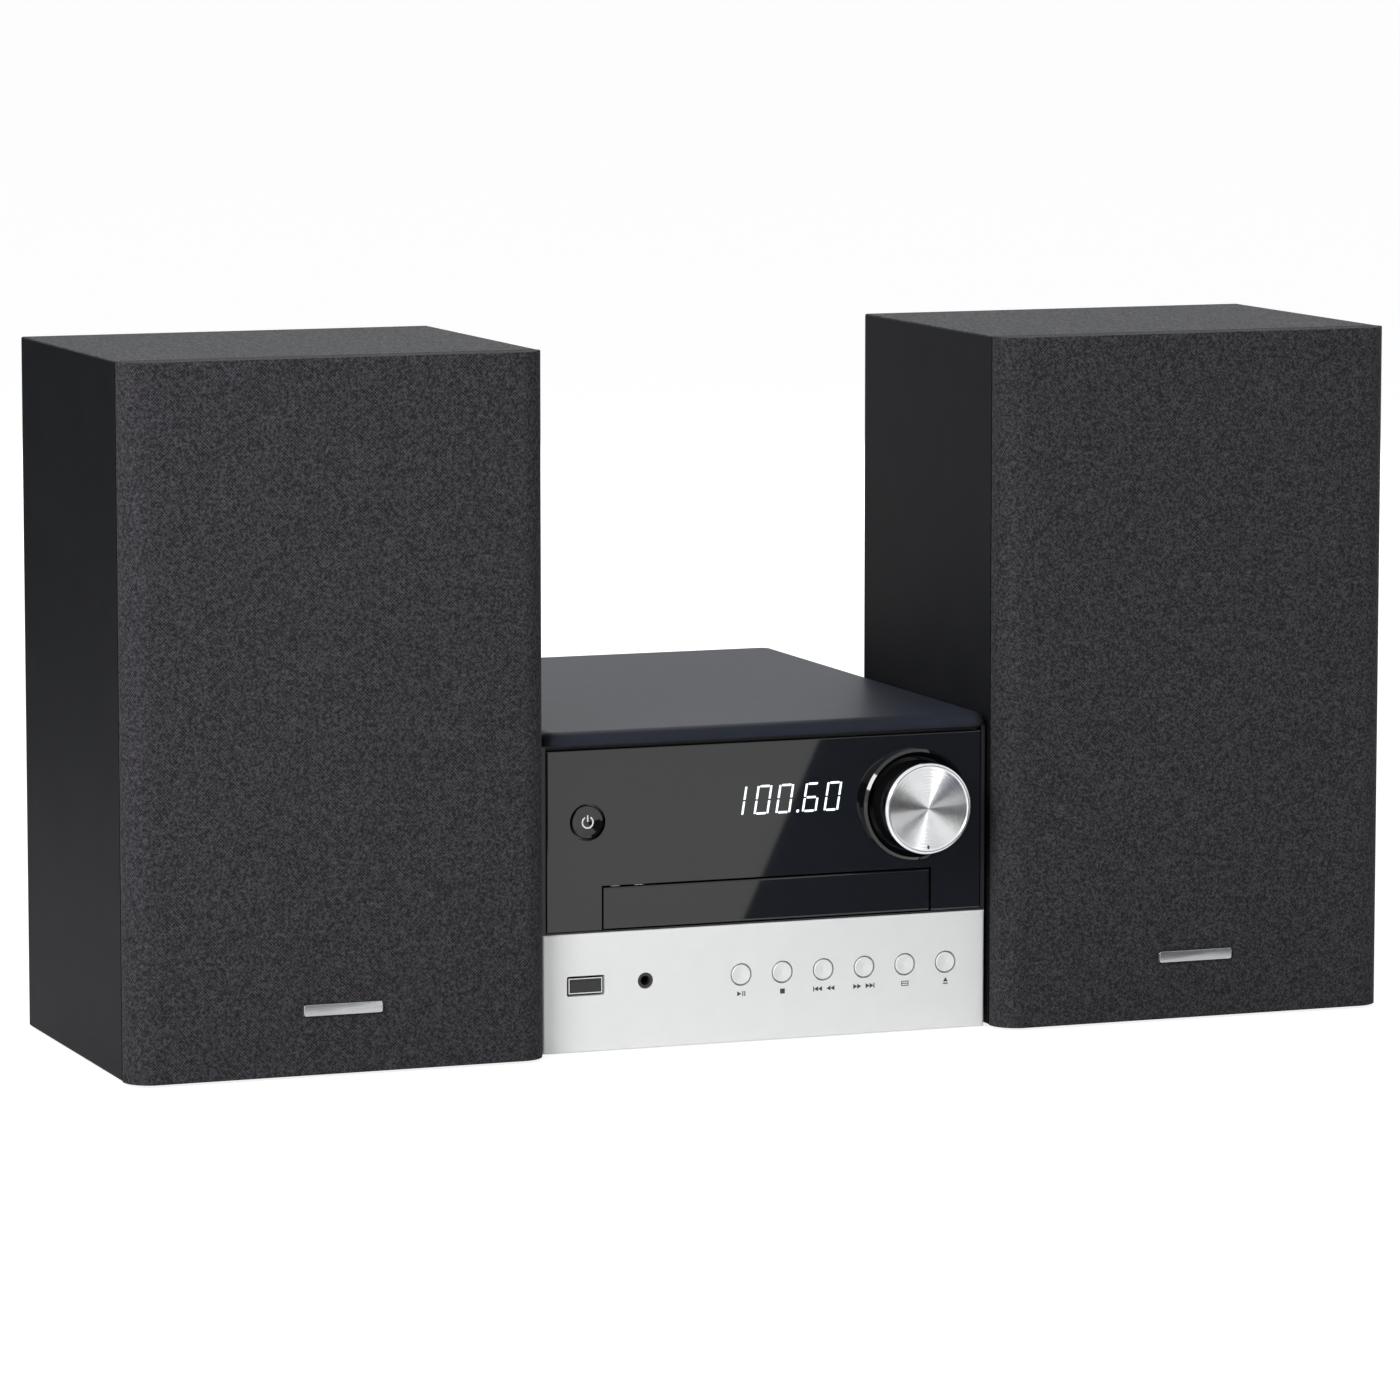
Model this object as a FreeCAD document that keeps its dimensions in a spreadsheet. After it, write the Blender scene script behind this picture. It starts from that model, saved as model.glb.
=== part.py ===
"""Mini hifi system: a centre unit with a disc drawer, and two shelf loudspeakers.

Millimetres, +Z up, +X to the listener's right, +Y from the front to the back. The origin lies on the
shelf, under the middle of the whole set. Depths are counted back from the fascia's front plane.
"""
import FreeCAD
import Part
import math
import os
import Sketcher
from FreeCAD import Placement, Rotation, Vector

SIZES = {
    # centre unit, outside
    "unit_width": 177.0, "unit_height": 120.5, "unit_depth": 223.0,
    "lid_height": 4.9, "lid_overhang": 3.0, "lid_corner": 6.0, "lid_edge": 4.0, "lid_skin": 1.6,
    "sheet": 1.2, "clearance": 0.3, "floor_gap": 3.2, "fascia_depth": 3.0,
    "silver_bottom": 0.5, "silver_top": 45.0, "gloss_bottom": 45.8, "gloss_top": 113.8,
    "gloss_margin": 1.5, "fascia_corner": 0.8, "frame_wall": 1.5, "frame_web": 2.4, "frame_reach": 14.0,
    "frame_recess": 0.6,
    "rear_inset": 3.0, "flange_height": 12.0, "foot_radius": 8.0, "foot_side": 18.0, "foot_end": 18.0,
    # controls
    "knob_across": 59.4, "knob_up": 87.0, "knob_radius": 17.2, "knob_reach": 15.0, "knob_gap": 0.8,
    "cap_depth": 1.6, "cap_edge": 0.8, "knob_wall": 2.0, "bezel_width": 3.0, "bezel_rise": 3.0,
    "shaft_radius": 3.0, "bush_radius": 3.6, "running": 0.05, "encoder_side": 12.4,
    "power_across": -70.7, "power_up": 86.5, "power_radius": 6.2, "power_ring": 0.8,
    "key_first": -9.9, "key_pitch": 16.5, "key_up": 26.0, "key_radius": 3.75, "key_ring": 0.55,
    "key_travel": 0.8, "collar_rim": 1.4, "collar_depth": 1.2, "stem_radius": 1.6, "switch_side": 6.0,
    "usb_across": -71.5, "usb_up": 25.4, "usb_mouth_width": 15.0, "usb_mouth_height": 7.6,
    "usb_width": 13.2, "usb_height": 5.8, "usb_skin": 0.35, "usb_length": 14.0,
    "jack_across": -48.0, "jack_up": 26.0, "jack_hole": 3.05, "jack_bore": 1.8, "jack_side": 9.0,
    "jack_length": 12.0, "board": 1.6, "board_depth": 11.6, "board_stand": 5.0,
    "display_left": -20.0, "display_right": 42.0, "display_bottom": 82.0, "display_top": 101.0,
    # connectors on the back
    "inlet_across": 62.0, "inlet_up": 24.0, "inlet_width": 23.0, "inlet_height": 13.0, "inlet_recess": 11.0,
    "pin_radius": 1.2, "pin_spread": 4.3, "lobe_radius": 4.15, "terminal_across": -46.0, "terminal_up": 40.0,
    "terminal_width": 44.0, "terminal_height": 36.0, "antenna_across": -46.0, "antenna_up": 84.0,
    "antenna_radius": 5.0, "connector_lip": 3.0,
    # disc drive
    "drawer_across": 0.7, "drawer_margin": 3.3, "drawer_top": 61.9, "drawer_gap": 0.6,
    "front_thickness": 2.6, "tray_width": 124.0, "tray_length": 164.0, "tray_bottom": 50.3,
    "tray_thickness": 7.0, "disc_radius": 60.6, "disc_depth": 2.0, "small_disc_radius": 40.6,
    "disc_centre": 74.0, "slot_width": 46.0, "slot_length": 74.0,
    "drive_front": 16.0, "drive_back": 174.0, "drive_wall": 3.0, "drive_floor": 30.0,
    "drive_web": 2.5, "drive_roof": 64.0, "bridge_length": 46.0, "leg_radius": 4.5, "leg_inset": 7.0,
    "gear_module": 1.0, "rack_inset": 8.5, "rack_height": 3.6, "gear_depth": 27.0,
    "belt_wheel_radius": 14.0, "motor_wheel_radius": 3.6, "belt_span": 36.0, "belt_level": 40.0,
    "belt_width": 3.0, "motor_radius": 12.0, "motor_height": 12.3, "post_radius": 2.0,
    "hinge_depth": 162.0, "hinge_level": 38.0, "tilt": 6.5, "traverse_width": 72.0,
    "traverse_length": 112.0, "traverse_web": 2.5, "turntable_radius": 15.0, "turntable_level": 18.0,
    "hub_radius": 7.4, "hub_height": 2.4, "rod_radius": 1.5, "rod_spread": 20.0,
    "sled_length": 24.0, "sled_start": 25.0, "clamp_radius": 16.4, "clamp_lip": 20.0, "clamp_bottom": 58.2,
    # loudspeakers
    "speaker_width": 160.0, "speaker_height": 262.0, "speaker_depth": 138.0, "speaker_gap": 1.5,
    "speaker_front": 12.5, "grille_depth": 11.5, "grille_round": 10.5, "cloth": 0.6, "pad_height": 1.0,
    "pad_radius": 7.0, "speaker_wall": 12.0, "baffle_depth": 12.0, "grille_bar": 14.0, "grille_seat": 0.4,
    "peg_radius": 3.0, "peg_length": 7.0, "peg_inset": 9.0,
    "woofer_hole": 50.0, "flange_width": 6.0, "roll_width": 8.0, "basket_wall": 4.0,
    "cone_travel": 3.0, "flange_depth": 3.2, "magnet_radius": 36.0,
    "coil_radius": 13.0, "tweeter_radius": 27.0, "dome_radius": 12.5,
    "tweeter_hole": 21.0, "badge_width": 31.0, "badge_height": 4.5, "badge_up": 25.0,
    "port_bore": 16.0, "port_length": 62.0, "port_wall": 2.0,
    "cup_side": 62.0, "cup_recess": 12.0, "socket_bore": 2.05, "socket_pitch": 19.0, "socket_length": 14.0,
}

TEETH = 18
KEYS = ["play", "stop", "previous", "next", "menu", "eject"]
PRESSURE = math.radians(20)
FULL_TURN = 360

doc = FreeCAD.newDocument("mini_hifi_system")
sheet = doc.addObject("Spreadsheet::Sheet", "sizes")


class Size:
    """A length that carries its value and the sheet expression it comes from."""

    def __init__(self, value, text):
        self.value = float(value)
        self.text = text

    def __float__(self):
        return self.value

    def __add__(self, other):
        return Size(self.value + float(other), f"({self.text} + {text_of(other)})")

    def __radd__(self, other):
        return size(other) + self

    def __sub__(self, other):
        return Size(self.value - float(other), f"({self.text} - {text_of(other)})")

    def __rsub__(self, other):
        return size(other) - self

    def __mul__(self, other):
        return Size(self.value * float(other), f"({self.text} * {text_of(other)})")

    __rmul__ = __mul__

    def __truediv__(self, other):
        return Size(self.value / float(other), f"({self.text} / {text_of(other)})")

    def __neg__(self):
        return Size(-self.value, f"(0 - {self.text})")


def size(number):
    """A Size from a plain number or another Size."""
    return number if isinstance(number, Size) else Size(number, repr(float(number)))


def text_of(number):
    return size(number).text


def fill_sheet():
    """Write every driving size to the sheet, and give each back as a Size under its own name."""
    for row, (alias, number) in enumerate(SIZES.items(), start=1):
        sheet.set(f"A{row}", alias.replace("_", " "))
        sheet.set(f"B{row}", str(number))
        sheet.setAlias(f"B{row}", alias)
    doc.recompute()
    return type("Sizes", (), {alias: Size(number, f"sizes.{alias}") for alias, number in SIZES.items()})


s = fill_sheet()

FACING = {
    "up": Rotation(),
    "down": Rotation(Vector(1, 0, 0), 180),
    "front": Rotation(Vector(1, 0, 0), 90),
    "back": Rotation(Vector(1, 0, 0), -90),
    "right": Rotation(Vector(0, 1, 0), 90),
}
ALONG = {"x": "right", "y": "back", "z": "up"}


def deep(depth):
    """The Y of a plane that lies this far behind the fascia's front plane."""
    return depth - (s.unit_depth - s.knob_reach) / 2


def bind(thing, prop, number):
    """Bind one property of an object to a size."""
    thing.setExpression(prop, text_of(number))


def put(thing, facing, x, y, z):
    """Turn an object to face a way and bind its place."""
    thing.Placement = Placement(Vector(float(x), float(y), float(z)), FACING[facing])
    for axis, number in zip("xyz", (x, y, z)):
        bind(thing, f"Placement.Base.{axis}", number)
    return thing


# ---- solids from primitives ----

def block(x, y, z):
    """A box between two corners, given as a pair of sizes for each axis."""
    made = doc.addObject("Part::Box", "block")
    for prop, (low, high) in zip(("Length", "Width", "Height"), (x, y, z)):
        bind(made, prop, size(high) - low)
    return put(made, "up", x[0], y[0], z[0])


def rod(axis, x, y, z, radius):
    """A cylinder: the entry for its own axis is a pair, the other two are its centre."""
    made = doc.addObject("Part::Cylinder", "rod")
    low, high = {"x": x, "y": y, "z": z}[axis]
    bind(made, "Radius", radius)
    bind(made, "Height", size(high) - low)
    start = [low if letter == axis else place for letter, place in zip("xyz", (x, y, z))]
    return put(made, ALONG[axis], *start)


def fuse(*pieces):
    made = doc.addObject("Part::MultiFuse", "fuse")
    made.Shapes = list(pieces)
    return made


def cut(base, *tools):
    made = doc.addObject("Part::Cut", "cut")
    made.Base = base
    made.Tool = tools[0] if len(tools) == 1 else fuse(*tools)
    return made


def ring(axis, x, y, z, outer, inner):
    return cut(rod(axis, x, y, z, outer), rod(axis, x, y, z, inner))


def group(*pieces):
    """Separate solids kept under one name."""
    made = doc.addObject("Part::Compound", "group")
    made.Links = list(pieces)
    return made


# ---- solids from sketches ----

def origin_plane(body, role):
    return next(part for part in body.Origin.OriginFeatures if part.Role == role)


def new_sketch(body, role, start=0):
    """A sketch on one of its own body's origin planes, moved along the plane's normal."""
    sketch = body.newObject("Sketcher::SketchObject", "sketch")
    sketch.AttachmentSupport = [(origin_plane(body, role), "")]
    sketch.MapMode = "FlatFace"
    bind(sketch, "AttachmentOffset.Base.z", start)
    return sketch


def outline(sketch, corners):
    """A closed outline whose corners are bound to pairs of sizes."""
    count = len(corners)
    spots = [Vector(float(across), float(up), 0) for across, up in corners]
    lines = [sketch.addGeometry(Part.LineSegment(spots[i], spots[(i + 1) % count])) for i in range(count)]
    for i in range(count):
        sketch.addConstraint(Sketcher.Constraint("Coincident", lines[i], 2, lines[(i + 1) % count], 1))
    for i, corner in enumerate(corners):
        for kind, axis, number in (("DistanceX", -2, corner[0]), ("DistanceY", -1, corner[1])):
            if float(number) == 0:
                sketch.addConstraint(Sketcher.Constraint("PointOnObject", lines[i], 1, axis))
                continue
            made = sketch.addConstraint(Sketcher.Constraint(kind, -1, 1, lines[i], 1, float(number)))
            sketch.renameConstraint(made, f"{kind}_{i}")
            bind(sketch, f"Constraints.{kind}_{i}", number)


def rectangle(width, height):
    return [(0, 0), (width, 0), (width, height), (0, height)]


def edges_where(feature, test):
    """Names of the edges of a feature whose end points all pass a test."""
    names = []
    for number, edge in enumerate(feature.Shape.Edges, start=1):
        ends = [vertex.Point for vertex in edge.Vertexes]
        if test(edge, ends):
            names.append(f"Edge{number}")
    return names


def rounded(body, radius, test, kind="Fillet"):
    """Fillet or chamfer the edges that pass a test."""
    feature = body.Tip
    body.recompute(True)
    made = body.newObject(f"PartDesign::{kind}", "edge")
    made.Base = (feature, edges_where(feature, test))
    bind(made, "Radius" if kind == "Fillet" else "Size", radius)
    return made


def is_upright(edge, ends):
    """True for an edge along the pad's own direction."""
    return len(ends) == 2 and abs(ends[0].x - ends[1].x) < 1e-6 and abs(ends[0].y - ends[1].y) < 1e-6


def at_level(level):
    """A test for edges that lie at one height of the body."""
    return lambda edge, ends: all(abs(end.z - float(level)) < 1e-6 for end in ends)


def slab(facing, x, y, z, corner=0, edge=0, kind="Fillet"):
    """A padded rectangle with rounded corners and, on the face it shows, rounded or bevelled edges."""
    body = doc.addObject("PartDesign::Body", "slab")
    sketch = new_sketch(body, "XY_Plane")
    pad = body.newObject("PartDesign::Pad", "pad")
    pad.Profile = sketch
    up = facing == "up"
    height = size(y[1]) - y[0] if up else size(z[1]) - z[0]
    thickness = size(z[1]) - z[0] if up else size(y[1]) - y[0]
    outline(sketch, rectangle(size(x[1]) - x[0], height))
    bind(pad, "Length", thickness)
    if float(corner):
        rounded(body, corner, is_upright)
    if float(edge):
        rounded(body, edge, at_level(thickness), kind)
    return put(body, facing, x[0], y[0] if up else y[1], z[0])


def turned(facing, x, y, z, profile):
    """A lathe-turned solid: the profile holds pairs of radius and height along the facing."""
    body = doc.addObject("PartDesign::Body", "turned")
    sketch = new_sketch(body, "XZ_Plane")
    outline(sketch, profile)
    made = body.newObject("PartDesign::Revolution", "revolution")
    made.Profile = sketch
    made.ReferenceAxis = (sketch, ["V_Axis"])
    made.Angle = FULL_TURN
    return put(body, facing, x, y, z)


def drawn(facing, x, y, z, corners, length):
    """A padded outline."""
    body = doc.addObject("PartDesign::Body", "drawn")
    sketch = new_sketch(body, "XY_Plane")
    outline(sketch, corners)
    pad = body.newObject("PartDesign::Pad", "pad")
    pad.Profile = sketch
    bind(pad, "Length", length)
    return put(body, facing, x, y, z)


NODES = {}


def keep(name, thing):
    """Name a finished sub-part."""
    thing.Label = name
    NODES[name] = thing
    return thing


def both(value):
    """A pair of sizes either side of the middle."""
    return (-value, value)


def around(centre, width):
    return (centre - width / 2, centre + width / 2)


# ---- centre unit: casing ----

half = s.unit_width / 2
drawer_left = s.drawer_across - s.tray_width / 2 - s.drawer_margin
drawer_right = s.drawer_across + s.tray_width / 2 + s.drawer_margin
inner = half - s.sheet
tucked = inner - s.clearance
lid_bottom = s.unit_height - s.lid_height
frame_top = lid_bottom - s.clearance
web_back = s.fascia_depth + s.frame_web
rear_front = s.unit_depth - s.rear_inset - s.sheet
floor_top = s.floor_gap + s.sheet
key_hole = s.key_radius + s.key_ring
power_hole = s.power_radius + s.power_ring
key_places = [s.key_first + s.key_pitch * i for i in range(len(KEYS))]


def make_top_cover():
    """The lid with its rounded rim, and the two side sheets that hang from it."""
    lid = slab("up", both(half), (deep(-s.lid_overhang), deep(s.unit_depth)), (lid_bottom, s.unit_height),
               corner=s.lid_corner, edge=s.lid_edge)
    hollow = block(both(inner), (deep(s.frame_reach + s.clearance), deep(rear_front)),
                   (lid_bottom - s.clearance, s.unit_height - s.lid_skin))
    sides = [block((side * half - s.sheet * (side + 1) / 2, side * half - s.sheet * (side - 1) / 2),
                   (deep(s.frame_reach + s.clearance), deep(s.unit_depth)), (floor_top, lid_bottom + s.sheet))
             for side in (-1, 1)]
    keep("top_cover", fuse(cut(lid, hollow), *sides))


def make_chassis():
    """The folded steel pan with side and rear flanges, and the feet under it."""
    across = both(tucked)
    along = (deep(web_back + s.clearance), deep(rear_front - s.clearance))
    level = (s.floor_gap, floor_top)
    flanges = [block((side * tucked - s.sheet * (side + 1) / 2, side * tucked - s.sheet * (side - 1) / 2),
                     (deep(s.frame_reach + 2 * s.clearance), along[1]),
                     (s.floor_gap, s.floor_gap + s.flange_height)) for side in (-1, 1)]
    slots = [block(around(size(0), half), around(deep(s.disc_centre + 12 * i), size(4)),
                   (s.floor_gap - 1, floor_top + 1)) for i in range(-2, 4)]
    keep("bottom_chassis", cut(fuse(block(across, along, level), *flanges), *slots))
    feet = [rod("z", side * (half - s.foot_side), place, (0, s.floor_gap), s.foot_radius)
            for side in (-1, 1) for place in (deep(s.frame_reach + s.foot_radius + 1), deep(rear_front - s.foot_end))]
    keep("unit_feet", group(*feet))


def make_silver_fascia():
    """The lower metal panel with its socket and key holes."""
    panel = slab("front", both(half), (deep(0), deep(s.fascia_depth)), (s.silver_bottom, s.silver_top),
                 edge=s.fascia_corner)
    through = (deep(-1), deep(s.fascia_depth + 1))
    holes = [rod("y", place, through, s.key_up, key_hole) for place in key_places]
    holes.append(rod("y", s.jack_across, through, s.jack_up, s.jack_hole))
    holes.append(slab("front", around(s.usb_across, s.usb_mouth_width), through,
                      around(s.usb_up, s.usb_mouth_height), corner=s.fascia_corner))
    keep("silver_fascia", cut(panel, *holes))


def make_gloss_fascia():
    """The upper gloss panel, notched for the drawer and bored for knob and power button."""
    edge = half - s.gloss_margin
    panel = slab("front", both(edge), (deep(0), deep(s.fascia_depth)), (s.gloss_bottom, s.gloss_top),
                 edge=s.fascia_corner)
    through = (deep(-1), deep(s.fascia_depth + 1))
    notch = block((drawer_left - s.drawer_gap, drawer_right + s.drawer_gap), through,
                  (s.gloss_bottom - 1, s.drawer_top + s.drawer_gap))
    power = rod("y", s.power_across, through, s.power_up, power_hole)
    knob = rod("y", s.knob_across, through, s.knob_up, 2 * s.bush_radius)
    keep("gloss_fascia", cut(panel, notch, power, knob))


def make_front_frame():
    """The moulded frame behind both panels, with its rim, windows and button guides."""
    step = s.gloss_bottom - 0.2
    reach = deep(s.frame_reach)
    web = block(both(half), (deep(s.fascia_depth), deep(web_back)), (s.silver_bottom, frame_top))
    rim = cut(block(both(half), (deep(s.fascia_depth), reach), (s.silver_bottom, frame_top)),
              block(both(half - s.frame_wall), (deep(web_back), reach + 1),
                    (s.silver_bottom + s.frame_wall, frame_top - s.frame_wall)))
    ears = [block((side * half - s.gloss_margin * (side + 1) / 2, side * half - s.gloss_margin * (side - 1) / 2),
                  (deep(s.frame_recess), deep(s.fascia_depth)), (step, frame_top)) for side in (-1, 1)]
    strip = block(both(half), (deep(s.frame_recess), deep(s.fascia_depth)), (s.silver_top, step))
    through = (deep(s.fascia_depth - 1), deep(web_back + 1))
    fit = s.clearance
    holes = [rod("y", place, through, s.key_up, key_hole + s.collar_rim) for place in key_places]
    holes.append(rod("y", s.power_across, through, s.power_up, power_hole + s.collar_rim))
    holes.append(rod("y", s.knob_across, through, s.knob_up, s.bush_radius))
    holes.append(block(around(s.usb_across, s.usb_width + 2 * fit), through,
                       around(s.usb_up, s.usb_height + 2 * fit)))
    holes.append(block(around(s.jack_across, s.jack_side + 2 * fit), through,
                       around(s.jack_up, s.jack_side + 2 * fit)))
    holes.append(block((s.display_left - fit, s.display_right + fit), through,
                       (s.display_bottom - fit, s.display_top + fit)))
    holes.append(block((drawer_left - s.drawer_gap, drawer_right + s.drawer_gap), through,
                       (step, s.drawer_top + s.drawer_gap)))
    keep("front_frame", cut(fuse(web, rim, strip, *ears), *holes))


def make_rear_panel():
    """The steel back with its connector holes and cooling slots."""
    span = (deep(rear_front), deep(rear_front + s.sheet))
    through = (deep(rear_front - 1), deep(rear_front + s.sheet + 1))
    panel = block(both(tucked), span, (floor_top + s.clearance, frame_top))
    slots = [block(around(size(-30 + 10 * i), size(4)), through, (size(74), size(100))) for i in range(7)]
    holes = [block(around(s.inlet_across, s.inlet_width), through, around(s.inlet_up, s.inlet_height)),
             block(around(s.terminal_across, s.terminal_width), through, around(s.terminal_up, s.terminal_height)),
             rod("y", s.antenna_across, through, s.antenna_up, s.antenna_radius)]
    keep("rear_panel", cut(panel, *slots, *holes))


def make_rear_connectors():
    """Speaker sockets, the mains inlet and the aerial socket on the back."""
    back = deep(rear_front + s.sheet)
    plate = slab("front", around(s.terminal_across, s.terminal_width + s.connector_lip), (back, back + 2),
                 around(s.terminal_up, s.terminal_height + s.connector_lip))
    body = block(around(s.terminal_across, s.terminal_width - s.clearance), (deep(rear_front - s.socket_length), back),
                 around(s.terminal_up, s.terminal_height - s.clearance))
    bores = [rod("y", s.terminal_across + across * s.socket_pitch / 2, (deep(rear_front - s.socket_length + 2), back + 3),
                 s.terminal_up + up * s.socket_pitch / 2, s.socket_bore) for across in (-1, 1) for up in (-1, 1)]
    keep("speaker_terminals", cut(fuse(plate, body), *bores))

    lip = block(around(s.inlet_across, s.inlet_width + s.connector_lip), (back, back + 2), around(s.inlet_up, s.inlet_height + s.connector_lip))
    shell = block(around(s.inlet_across, s.inlet_width - s.clearance), (back - s.inlet_recess - 3, back),
                  around(s.inlet_up, s.inlet_height - s.clearance))
    mouth = (back - s.inlet_recess, back + 3)
    lobes = [rod("y", s.inlet_across + side * s.pin_spread, mouth, s.inlet_up, s.lobe_radius) for side in (-1, 1)]
    waist = block(around(s.inlet_across, 2 * s.pin_spread), mouth, around(s.inlet_up, 2 * s.lobe_radius))
    pins = [rod("y", s.inlet_across + side * s.pin_spread, (back - s.inlet_recess - 1, back - 1), s.inlet_up, s.pin_radius)
            for side in (-1, 1)]
    keep("mains_inlet", fuse(cut(fuse(lip, shell), *lobes, waist), *pins))

    sleeve = ring("y", s.antenna_across, (back - 8, back + 3), s.antenna_up, s.antenna_radius - s.clearance, size(3.4))
    base = rod("y", s.antenna_across, (back - 10, back - 7), s.antenna_up, s.antenna_radius - s.clearance)
    contact = rod("y", s.antenna_across, (back - 8, back + 1), s.antenna_up, size(1.2))
    collar = ring("y", s.antenna_across, (back, back + 1.2), s.antenna_up, s.antenna_radius + 2, s.antenna_radius - 1)
    keep("antenna_socket", fuse(sleeve, base, contact, collar))


def make_screws():
    """The screws that hold the rear panel to the cover: pan heads with cross slots."""
    back = deep(rear_front + s.sheet)
    screws = []
    for across in (-1, 1):
        for up in (floor_top + 8, frame_top - 6):
            place = across * (half - 8)
            head = rod("y", place, (back, back + 1.8), up, size(2.8))
            slots = [block(around(place, size(3.2 if flat else 0.8)), (back + 0.9, back + 3),
                           around(up, size(0.8 if flat else 3.2))) for flat in (0, 1)]
            screws.append(cut(head, *slots))
    keep("cover_screws", group(*screws))


# ---- centre unit: controls ----

def make_volume_control():
    """Bezel ring, encoder, and the knob with its metal face and shaft."""
    x, z = s.knob_across, s.knob_up
    inside = s.knob_radius + s.knob_gap
    outside = inside + s.bezel_width
    bezel = turned("front", x, deep(0), z, [
        (inside, 0), (outside, 0), (outside, s.bezel_rise * 0.7), (outside - s.bezel_width * 0.35, s.bezel_rise),
        (inside, s.bezel_rise * 0.25)])
    keep("knob_bezel", bezel)

    case = block(around(x, s.encoder_side), (deep(web_back), deep(s.board_depth)), around(z, s.encoder_side))
    bush = rod("y", x, (deep(size(-2)), deep(web_back + 1)), z, s.bush_radius)
    nut = rod("y", x, (deep(size(1)), deep(s.fascia_depth)), z, s.bush_radius + 1.9)
    bore = rod("y", x, (deep(size(-3)), deep(s.board_depth - 0.6)), z, s.shaft_radius + s.running)
    keep("volume_encoder", cut(fuse(case, bush, nut), bore))

    rear = s.knob_reach - s.cap_depth
    skirt = s.knob_radius - s.knob_wall
    body = turned("front", x, deep(0), z, [
        (s.shaft_radius, 3), (6, 3), (6, rear - 3), (skirt, rear - 3), (skirt, 0.6), (s.knob_radius, 0.6),
        (s.knob_radius, rear), (0, rear), (0, rear - 2.4), (s.shaft_radius, rear - 2.4)])
    shaft = rod("y", x, (deep(-rear + 2.4), deep(s.board_depth - 1)), z, s.shaft_radius)
    keep("volume_knob", group(body, shaft))
    cap = turned("front", x, deep(0), z, [
        (0, rear), (s.knob_radius, rear), (s.knob_radius, s.knob_reach - s.cap_edge),
        (s.knob_radius - s.cap_edge, s.knob_reach), (s.knob_radius - 2 * s.cap_edge, s.knob_reach - 0.3),
        (0, s.knob_reach - 0.3)])
    keep("knob_cap", cap)


def push_button(name, x, z, radius, hole, guide):
    """A pressed cap with its retaining collar and the stem that works the switch."""
    stem_end = s.board_depth - 1.6 - s.key_travel
    face = turned("back", x, deep(0), z, [
        (0, 0.5), (radius - 1.2, 0.15), (radius - 0.3, 0), (radius, 0.3), (radius, s.fascia_depth + 0.3),
        (hole + guide - 0.4, s.fascia_depth + 0.3), (hole + guide - 0.4, s.fascia_depth + 0.3 + s.collar_depth),
        (s.stem_radius, s.fascia_depth + 0.3 + s.collar_depth), (s.stem_radius, stem_end), (0, stem_end)])
    keep(name, face)


def make_buttons():
    """Six round keys in a row and the power button."""
    for name, place in zip(KEYS, key_places):
        push_button(f"{name}_button", place, s.key_up, s.key_radius, key_hole, s.collar_rim)
    push_button("power_button", s.power_across, s.power_up, s.power_radius, power_hole, s.collar_rim)


def make_front_board():
    """The key board and the display board with their switches and the display module."""
    depth = (deep(s.board_depth), deep(s.board_depth + s.board))
    across = both(half - s.frame_wall - s.clearance * 3)
    lower = block(across, depth, (floor_top + 4, s.belt_level - 1.5))
    usb = block(around(s.usb_across, s.usb_width + 2 * s.clearance), (depth[0] - 1, depth[1] + 1),
                around(s.usb_up, s.usb_height + 2 * s.clearance))
    jack = block(around(s.jack_across, s.jack_side + 2 * s.clearance), (depth[0] - 1, depth[1] + 1),
                 around(s.jack_up, s.jack_side + 2 * s.clearance))
    upper = block(across, depth, (s.drawer_top + 4, s.gloss_top - 2))
    display = block((s.display_left, s.display_right), (deep(s.fascia_depth + 0.2), depth[0]),
                    (s.display_bottom, s.display_top))
    pieces = [cut(lower, usb, jack), upper, display]
    for x, z in [(place, s.key_up) for place in key_places] + [(s.power_across, s.power_up)]:
        case = block(around(x, s.switch_side), (depth[0] - 3.4, depth[0]), around(z, s.switch_side))
        pieces.append(cut(case, rod("y", x, (depth[0] - 4, depth[0] - 0.8), z, s.stem_radius + 0.1)))
    keep("front_board", group(*pieces))


def make_front_sockets():
    """The USB socket with its contact tongue and the audio input jack."""
    x, z = s.usb_across, s.usb_up
    start = deep(s.frame_recess)
    end = start + s.usb_length
    shell = cut(block(around(x, s.usb_width), (start, end), around(z, s.usb_height)),
                block(around(x, s.usb_width - 2 * s.usb_skin), (start - 1, end - 1.5),
                      around(z, s.usb_height - 2 * s.usb_skin)))
    tongue = block(around(x, s.usb_width - 2), (start + 1, end - 1), (z + 0.4, z + 2.3))
    keep("usb_socket", fuse(shell, tongue))

    x, z = s.jack_across, s.jack_up
    body = block(around(x, s.jack_side), (deep(s.fascia_depth + 0.2), deep(s.fascia_depth + s.jack_length)),
                 around(z, s.jack_side))
    nose = rod("y", x, (deep(size(0.4)), deep(s.fascia_depth + 1)), z, s.jack_hole - 0.15)
    bore = rod("y", x, (deep(size(-1)), deep(s.fascia_depth + s.jack_length - 1)), z, s.jack_bore)
    keep("audio_in_jack", cut(fuse(body, nose), bore))


# ---- centre unit: disc drive ----

drive_across = s.drawer_across
tray_side = s.tray_width / 2
tray_top = s.tray_bottom + s.tray_thickness
pitch_radius = s.gear_module * TEETH / 2
rack_edge = drive_across + tray_side - s.rack_inset
gear_across = rack_edge - pitch_radius
motor_across = gear_across - s.belt_span
rail_top = s.tray_bottom - s.clearance
gear_bottom = s.tray_bottom - s.rack_height


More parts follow.
